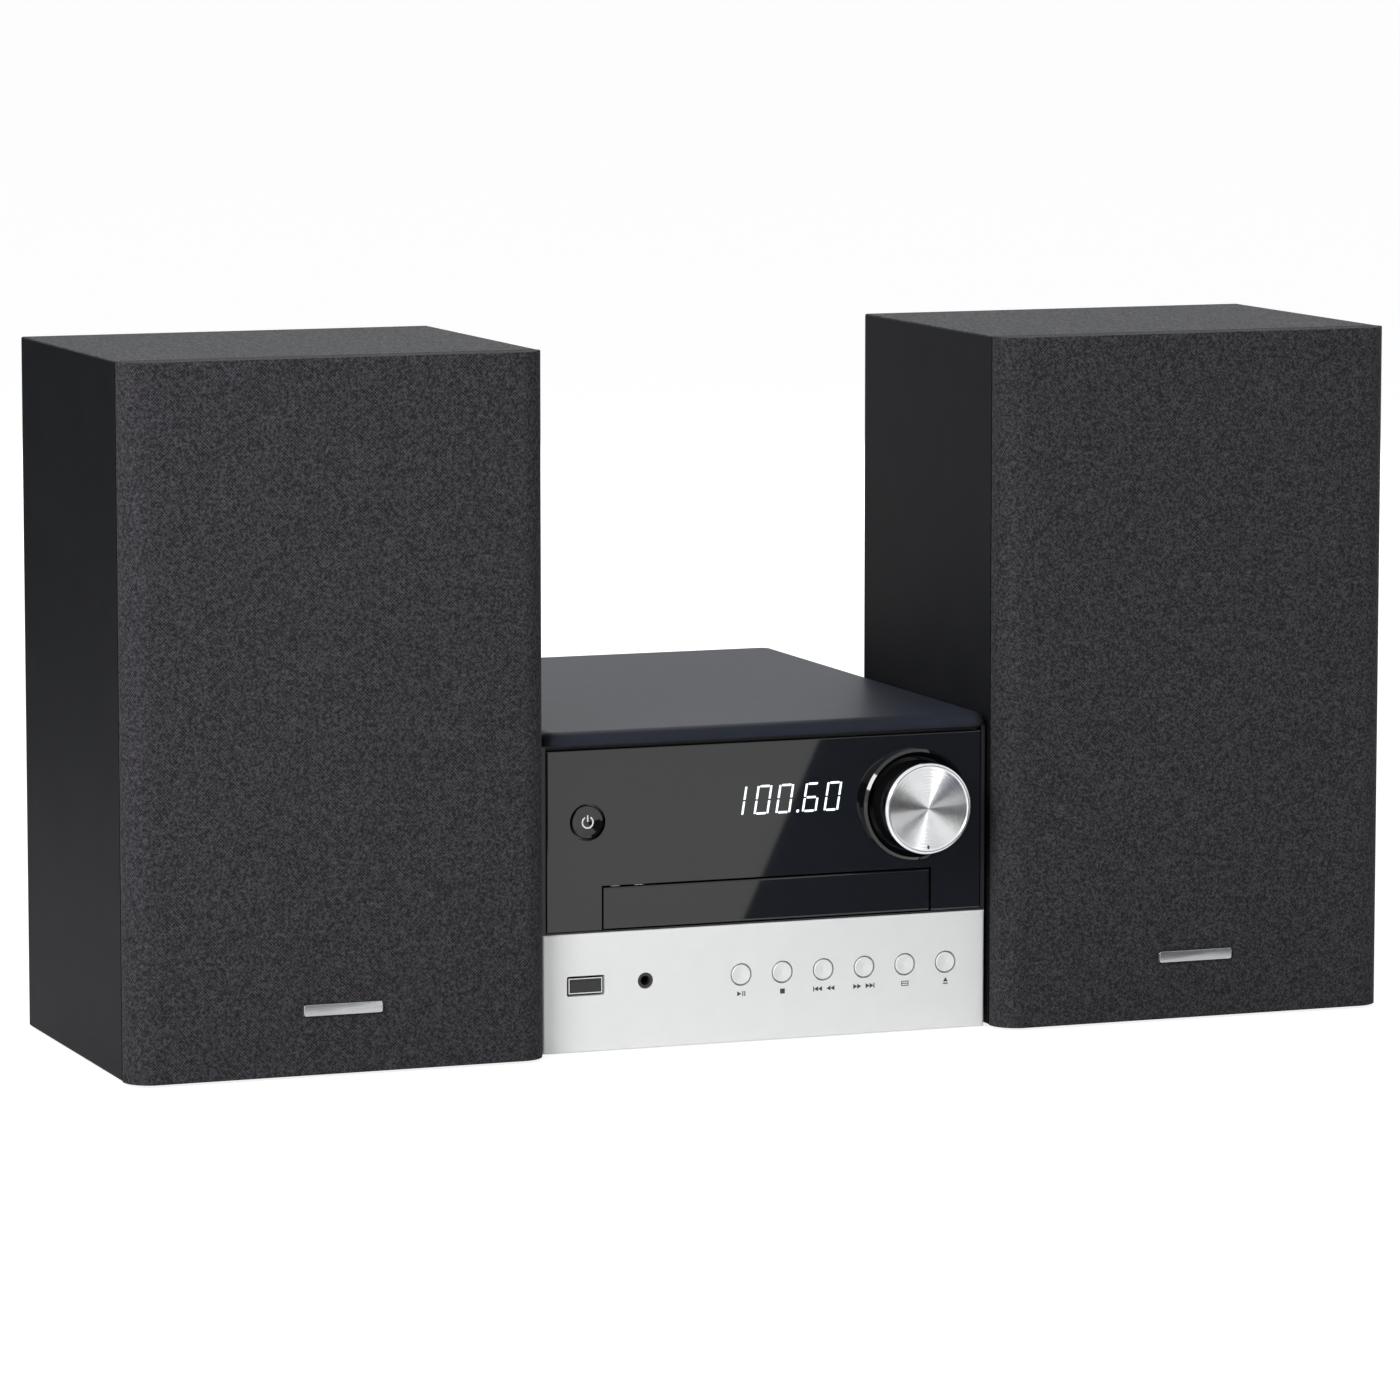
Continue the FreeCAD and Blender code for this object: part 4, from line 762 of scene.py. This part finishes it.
@dataclass
class SocketCollars:
    """Red and black collars round the banana sockets, on the unit and on both speakers, in millimetres."""

    pitch: float = 19.0
    bore: float = 2.05
    slack: float = 0.02
    wall: float = 1.3
    proud: float = 0.5
    lip: float = 0.2
    root: float = 0.4
    cup_recess: float = 1.0
    sides: int = 40

    def collar(self, x: float, z: float, y: float) -> bmesh.types.BMesh:
        """One ring with rounded lips.

        Args:
            x: the middle of its bore.
            z: the same, upwards.
            y: the plane that it stands on, in millimetres too.

        Returns:
            The ring.
        """
        inner, outer, lip = self.bore + self.slack, self.bore + self.wall, self.lip
        foot, top = y - self.root, y + self.proud
        ring = [
            (inner, foot), (inner, top - lip), (inner + lip, top),
            (outer - lip, top), (outer, top - lip), (outer, foot), (inner, foot),
        ]
        return turn_profile(ring, (x, z), self.sides)

    def joined(self, places: Iterable[tuple[float, float]], y: float) -> bmesh.types.BMesh:
        """Several collars on one plane as one shape.

        Args:
            places: the middle of each, as x and z.
            y: the plane, in millimetres.

        Returns:
            The shape.
        """
        whole = bmesh.new()
        for x, z in places:
            ring = self.collar(x, z, y)
            carrier = bpy.data.meshes.new("collar_part")
            ring.to_mesh(carrier)
            ring.free()
            whole.from_mesh(carrier)
            bpy.data.meshes.remove(carrier)
        return whole

    def build(self) -> None:
        """Makes the red and the black collars of each box."""
        half = self.pitch / 2
        rows = (("red", half), ("black", -half))
        x, z = middle_of("speaker_terminals")
        for colour, up in rows:
            shape = self.joined([(x - half, z + up), (x + half, z + up)], back_of("speaker_terminals"))
            hand_over(shape, f"unit_{colour}_collars", FINISHES[f"collar_{colour}"], "main_unit")
        for side in ("left", "right"):
            x, z = middle_of(f"{side}_terminal_cup")
            floor = back_of(f"{side}_cabinet") - self.cup_recess
            for colour, across in rows:
                shape = self.joined([(x + across, z)], floor)
                hand_over(shape, f"{side}_{colour}_collar", FINISHES[f"collar_{colour}"], f"{side}_speaker")


@dataclass
class UsbShadeAndTongue:
    """A dark block filling the USB socket's hollow as painted shade of its inside, with the socket's plastic
    tongue, in millimetres.
    """

    wall: float = 0.35
    set_back: float = 0.6
    back_wall: float = 1.0
    corner: float = 0.2
    tongue_set_back: float = 0.3
    tongue_reach: tuple[float, float] = (0.2, 1.6)
    tongue_corner: float = 0.3

    def build(self) -> None:
        """Makes the dark block of painted shade and the tongue as one piece."""
        low, high = (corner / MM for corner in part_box("usb_socket"))
        wall, inset = self.wall, 3 * self.wall
        front = low.y + self.set_back
        shape = bmesh.new()
        # Painted shade: a dark block fills the socket's hollow from just behind its mouth to near its back.
        add_block(
            shape,
            (low.x + wall, front, low.z + wall),
            (high.x - wall, high.y - self.back_wall, high.z - wall),
            self.corner,
        )
        bottom, top = ((low.z + high.z) / 2 + reach for reach in self.tongue_reach)
        add_block(
            shape,
            (low.x + inset, low.y + self.tongue_set_back, bottom),
            (high.x - inset, front + self.tongue_set_back, top),
            self.tongue_corner,
        )
        hand_over(shape, "usb_shade_and_tongue", FINISHES["connector_black"], "main_unit")


@dataclass
class KeySigns:
    """The plain signs printed under the six keys and on the power key, in millimetres."""

    drop: float = 7.2
    ink: float = 0.03
    arrow_radius: float = 1.092
    bar_size: tuple[float, float] = (0.42, 1.89)
    end_bar_size: tuple[float, float] = (0.4, 1.89)
    box: float = 1.9
    line: float = 0.3
    power_radius: float = 2.1
    power_line: float = 0.55
    power_opening: float = 62.0
    power_reach: tuple[float, float] = (0.2, 0.6)
    power_corner: float = 0.2
    sides: int = 40

    def arrow(self, shape: bmesh.types.BMesh, x: float, z: float, turn: float, y: float) -> None:
        """Adds one arrowhead of the signs' size."""
        add_arrow(shape, (x, y, z), self.arrow_radius, turn, 2 * self.ink)

    def stroke(
        self, shape: bmesh.types.BMesh, x: float, z: float, wide: float, tall: float, y: float
    ) -> None:
        """Adds one upright or level bar about a point."""
        half_wide, half_tall = wide / 2, tall / 2
        add_block(
            shape,
            (x - half_wide, y - self.ink, z - half_tall),
            (x + half_wide, y + self.ink, z + half_tall),
        )

    def sign(self, shape: bmesh.types.BMesh, key: str, x: float, z: float, y: float) -> None:
        """Adds the sign of one key.

        Args:
            shape: the bmesh that takes it.
            key: the key's node.
            x: the sign's middle, in millimetres.
            z: the same, upwards.
            y: the plane that it is printed on.
        """
        if key == "play_button":
            self.arrow(shape, x - 1.1, z, 0, y)
            for step in (0.6, 1.4):
                self.stroke(shape, x + step, z, *self.bar_size, y)
        elif key == "stop_button":
            self.stroke(shape, x, z, self.box, self.box, y)
        elif key in ("previous_button", "next_button"):
            way = -1 if key == "previous_button" else 1
            for step in (-3.9, -2.3, 1.1, 2.7):
                self.arrow(shape, x + way * step, z, 0 if way > 0 else 180, y)
            self.stroke(shape, x + way * 3.95, z, *self.end_bar_size, y)
        elif key == "menu_button":
            for step in (-0.8, 0.0, 0.8):
                self.stroke(shape, x, z + step, 2.8, self.line, y)
            for step in (-1.3, 1.3):
                self.stroke(shape, x + step, z, self.line, self.box, y)
        else:
            self.arrow(shape, x, z + 0.3, 90, y)
            self.stroke(shape, x, z - 0.95, self.box, self.bar_size[0], y)

    def build(self) -> None:
        """Makes the printed row and the power sign."""
        row = bmesh.new()
        front = front_of("silver_fascia")
        for name in ("play", "stop", "previous", "next", "menu", "eject"):
            key = f"{name}_button"
            x, z = middle_of(key)
            self.sign(row, key, x, z - self.drop, front)
        hand_over(row, "key_signs", FINISHES["dark_ink"], "main_unit")
        self.build_power()

    def build_power(self) -> None:
        """Makes the open ring and line on the power key."""
        x, z = middle_of("power_button")
        front = front_of("power_button")
        ring = bmesh.new()
        half_line, radius = self.power_line / 2, self.power_radius
        half = self.ink * MM
        inner, outer = (radius - half_line) * MM, (radius + half_line) * MM
        corners = [
            ring.verts.new((across, side, 0))
            for across, side in ((inner, -half), (outer, -half), (outer, half), (inner, half))
        ]
        face = ring.faces.new(corners)
        opening = math.radians(self.power_opening)
        start = Matrix.Rotation(-math.pi / 2 - opening / 2, 3, "Y")
        bmesh.ops.rotate(ring, verts=corners, cent=(0, 0, 0), matrix=start)
        bmesh.ops.spin(
            ring, geom=[face], cent=(0, 0, 0), axis=(0, 1, 0), angle=opening - math.tau, steps=self.sides
        )
        bmesh.ops.translate(ring, vec=(x * MM, front * MM, z * MM), verts=ring.verts)
        foot, past = self.power_reach
        add_block(
            ring,
            (x - half_line, front - self.ink, z + foot),
            (x + half_line, front + self.ink, z + radius + past),
            self.power_corner,
        )
        bmesh.ops.recalc_face_normals(ring, faces=ring.faces)
        hand_over(ring, "power_sign", FINISHES["white_ink"], "power_button")


@dataclass
class Speaker:
    """The cloth stretched over one speaker's grille, and the blank plate on it, in millimetres."""

    side: str
    upright_radius: float = 10.5
    upright_steps: int = 10
    level_radius: float = 2.6
    level_steps: int = 5
    least_turn: float = 30.0
    cloth: float = 0.6
    cloth_sharp: float = 50.0
    plate: tuple[float, float] = (30.0, 4.2)
    plate_height: float = 25.0
    plate_proud: float = 0.35
    plate_sunk: float = 0.20
    plate_corner: float = 0.9
    plate_rim: float = 0.22

    @property
    def body(self) -> str:
        """The body that carries the grille."""
        return f"{self.side}_grille"

    def round_edges(self, shape: bmesh.types.BMesh, front: float, upright: bool) -> None:
        """Rounds the front edges that stand upright, or the level ones.

        Args:
            shape: the cloth so far.
            front: the y of its face, in metres.
            upright: which of the two it rounds.
        """
        edges = []
        for edge in shape.edges:
            a, b = (vert.co for vert in edge.verts)
            at_front = abs(a.y - front) < TOUCHING and abs(b.y - front) < TOUCHING
            stands = abs(a.z - b.z) > abs(a.x - b.x)
            if at_front and stands == upright and len(edge.link_faces) == 2:
                turned = edge.link_faces[0].normal.angle(edge.link_faces[1].normal)
                if turned > math.radians(self.least_turn):
                    edges.append(edge)
        if upright:
            bevel(shape, edges, self.upright_radius, self.upright_steps)
        else:
            bevel(shape, edges, self.level_radius, self.level_steps)

    def build_cloth(self) -> None:
        """Makes the cloth, open at the back, as one stretched sheet."""
        node = f"{self.side}_grille_cloth"
        low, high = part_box(node)
        size = high - low
        shape = bmesh.new()
        made = bmesh.ops.create_cube(shape, size=1.0)["verts"]
        bmesh.ops.scale(shape, vec=size, verts=made)
        bmesh.ops.translate(shape, vec=(low + high) / 2, verts=made)
        back = [face for face in shape.faces if face.normal.y > 0.9]
        bmesh.ops.delete(shape, geom=back, context="FACES_ONLY")
        self.round_edges(shape, low.y, True)
        self.round_edges(shape, low.y, False)
        bmesh.ops.recalc_face_normals(shape, faces=shape.faces)
        if sum(face.normal.y * face.calc_area() for face in shape.faces) > 0:
            bmesh.ops.reverse_faces(shape, faces=shape.faces)
        area = sum(face.calc_area() for face in shape.faces)
        finish = FINISHES["grille_fabric"]
        cloth = hand_over(shape, f"{self.side}_cloth", finish, self.body, self.cloth_sharp)
        wall = cloth.modifiers.new("thread_thickness", "SOLIDIFY")
        wall.thickness, wall.offset = self.cloth * MM, -1
        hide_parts(node)

    def build_plate(self) -> None:
        """Makes the small plate with nothing on it."""
        node = f"{self.side}_grille_frame"
        x, frame_front = middle_of(node)[0], front_of(node)
        front = frame_front - self.plate_proud
        wide, tall = (part / 2 for part in self.plate)
        shape = bmesh.new()
        add_block(
            shape,
            (x - wide, front, self.plate_height - tall),
            (x + wide, frame_front + self.plate_sunk, self.plate_height + tall),
            self.plate_corner,
        )
        rim = [
            edge for edge in shape.edges
            if all(abs(vert.co.y - front * MM) < TOUCHING for vert in edge.verts)
        ]
        bevel(shape, rim, self.plate_rim, 3)
        hand_over(shape, f"{self.side}_plate", FINISHES["badge_metal"], self.body)

    def build(self) -> None:
        """Makes the cloth and the plate."""
        self.build_cloth()
        self.build_plate()


@dataclass
class Casing:
    """Every CAD node that stays, dressed in its own finish."""

    def dress(self) -> None:
        """Gives each node's slots the finish of the same name."""
        for name, node in sorted(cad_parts.items()):
            for place in node.material_slots:
                place.material = FINISHES[place.material.name.removeprefix("finish_")].material()
            log.info("%s is dressed", name)


@dataclass
class Lamp:
    """One soft lamp: where it stands, its size and its power."""

    name: str
    place: Place
    size: tuple[float, float]
    power: float
    aim: Place = (0.0, -0.05, 0.12)
    in_gloss: bool = True

    def build(self) -> None:
        """Makes the lamp, turned to what it aims at."""
        data = bpy.data.lights.new(self.name, "AREA")
        data.shape = "RECTANGLE"
        data.size, data.size_y = self.size
        data.energy = self.power
        lamp = bpy.data.objects.new(self.name, data)
        lamp.location = self.place
        lamp.rotation_mode = "QUATERNION"
        lamp.rotation_quaternion = (Vector(self.aim) - Vector(self.place)).to_track_quat("-Z", "Y")
        lamp.visible_glossy = self.in_gloss
        bpy.context.scene.collection.objects.link(lamp)


@dataclass
class Studio:
    """The pale room: floor, surroundings, cards that only gloss shows, lamps and camera.

    Lengths are in metres here.
    """

    azimuth: float = -20.70
    elevation: float = 7.24
    distance: float = 2.664
    target: Place = (-0.0037, -0.0440, 0.1219)
    sensor: float = 36.0
    lens: float = 180.4
    clip: tuple[float, float] = (0.05, 100.0)
    floor_side: float = 60.0
    floor_colour: Colour = (0.80, 0.80, 0.80)
    seen_floor_colour: Colour = (0.34, 0.34, 0.34)
    seen_floor_glow: float = 0.86
    sky: float = 0.36
    card_low: float = 0.0003
    card_end: float = 0.175
    grey: Colour = (0.27, 0.32, 0.41)
    black: Colour = (0.020, 0.020, 0.022)
    lamps: tuple[Lamp, ...] = (
        Lamp("key_softbox", (-1.50, -1.20, 1.00), (0.8, 0.8), 30.0),
        Lamp("top_softbox", (0.15, 0.75, 1.50), (1.6, 0.7), 11.0),
        Lamp("strip", (1.30, -2.05, 0.95), (0.12, 1.2), 3.5),
        Lamp("rear_softbox", (0.90, 2.10, 0.70), (1.2, 1.0), 30.0, in_gloss=False),
    )

    def seen_directly(self, graph: Graph) -> Wire:
        """1 for rays from the camera, a mirror or a glass, and 0 for those that light things."""
        path = graph.node("ShaderNodeLightPath")
        camera, gloss, glass = (
            graph.wire(path, f"Is {kind} Ray") for kind in ("Camera", "Glossy", "Transmission")
        )
        return camera.at_least(gloss).at_least(glass)

    def build_world(self) -> None:
        """White where it is seen, dimmer where it lights the hifi."""
        world = bpy.data.worlds.new("pale_room")
        bpy.context.scene.world = world
        world.use_nodes = True
        graph = Graph(world.node_tree)
        strength = self.seen_directly(graph) * (1 - self.sky) + self.sky
        shade = graph.node("ShaderNodeBackground", None, {"Color": (1, 1, 1, 1), "Strength": strength})
        graph.show(graph.wire(shade), "World")

    def matt(self, graph: Graph, colour: Colour) -> Wire:
        """A matt shader of one colour."""
        return graph.wire(graph.node("ShaderNodeBsdfDiffuse", None, {"Color": (*colour, 1)}))

    def build_floor(self) -> None:
        """A pale floor that keeps the shadow."""
        made, graph = new_material("pale_floor")
        lit = self.matt(graph, self.floor_colour)
        shaded = self.matt(graph, self.seen_floor_colour)
        glow = graph.node(
            "ShaderNodeEmission", None, {"Color": (1, 1, 1, 1), "Strength": self.seen_floor_glow}
        )
        seen = graph.node("ShaderNodeAddShader", None, {0: shaded, 1: graph.wire(glow)})
        mixed = graph.node(
            "ShaderNodeMixShader", None, {0: self.seen_directly(graph), 1: lit, 2: graph.wire(seen)}
        )
        graph.show(graph.wire(mixed))
        shape = bmesh.new()
        bmesh.ops.create_grid(shape, x_segments=4, y_segments=4, size=self.floor_side / 2)
        placed(shape, "floor", made)

    def build_card(self, name: str, colour: Colour, panels: Iterable[tuple[float, Sequence]]) -> None:
        """Makes one set of cards that only what is glossy sees.

        Args:
            name: the object's name.
            colour: the cards' colour.
            panels: each card's y, and its corners as x and z.
        """
        shape = bmesh.new()
        for y, corners in panels:
            shape.faces.new([shape.verts.new((x, y, z)) for x, z in corners])
        made, graph = new_material(name)
        graph.show(self.matt(graph, colour))
        card = placed(shape, name, made)
        card.visible_camera = card.visible_diffuse = card.visible_shadow = False

    def upright(self, left: float, right: float, top: float) -> Sequence[tuple[float, float]]:
        """The corners of a plain card that stands just off the floor."""
        return ((left, self.card_low), (right, self.card_low), (right, top), (left, top))

    def build_cards(self) -> None:
        """The grey card that the gloss front shows, with one leaning edge, and the black ones."""
        low, end = self.card_low, self.card_end
        near, far, rear = -0.270, -0.600, 0.600
        leaning = ((0.0464, low), (end, low), (end, 0.13), (0.1058, 0.13))
        self.build_card("grey_card", self.grey, [(near, leaning)])
        black = [
            (near, self.upright(end, 0.95, 0.22)),
            (far, self.upright(-0.35, 0.06, 0.20)),
            (rear, self.upright(-1.60, -0.30, 0.90)),
        ]
        self.build_card("black_cards", self.black, black)

    def build_camera(self) -> None:
        """The camera, low and from the left."""
        data = bpy.data.cameras.new("camera")
        data.sensor_width, data.lens = self.sensor, self.lens
        data.clip_start, data.clip_end = self.clip
        camera = bpy.data.objects.new("camera", data)
        bpy.context.scene.collection.objects.link(camera)
        across, up = math.radians(self.azimuth), math.radians(self.elevation)
        back = Vector((math.sin(across) * math.cos(up), -math.cos(across) * math.cos(up), math.sin(up)))
        camera.location = Vector(self.target) + self.distance * back
        camera.rotation_mode = "QUATERNION"
        camera.rotation_quaternion = (-back).to_track_quat("-Z", "Y")
        bpy.context.scene.camera = camera

    def build(self) -> None:
        """Makes the whole room."""
        bpy.context.scene.view_settings.view_transform = "Standard"
        self.build_camera()
        self.build_world()
        self.build_floor()
        self.build_cards()
        for lamp in self.lamps:
            lamp.build()


def main() -> None:
    """Builds the room and every piece, in order."""
    logging.basicConfig(level=logging.INFO, format="%(name)s: %(message)s")
    Studio().build()
    Casing().dress()
    VolumeKnob().build()
    Display().build()
    SocketCollars().build()
    UsbShadeAndTongue().build()
    KeySigns().build()
    for side in ("left", "right"):
        Speaker(side).build()


if __name__ == "__main__":
    main()
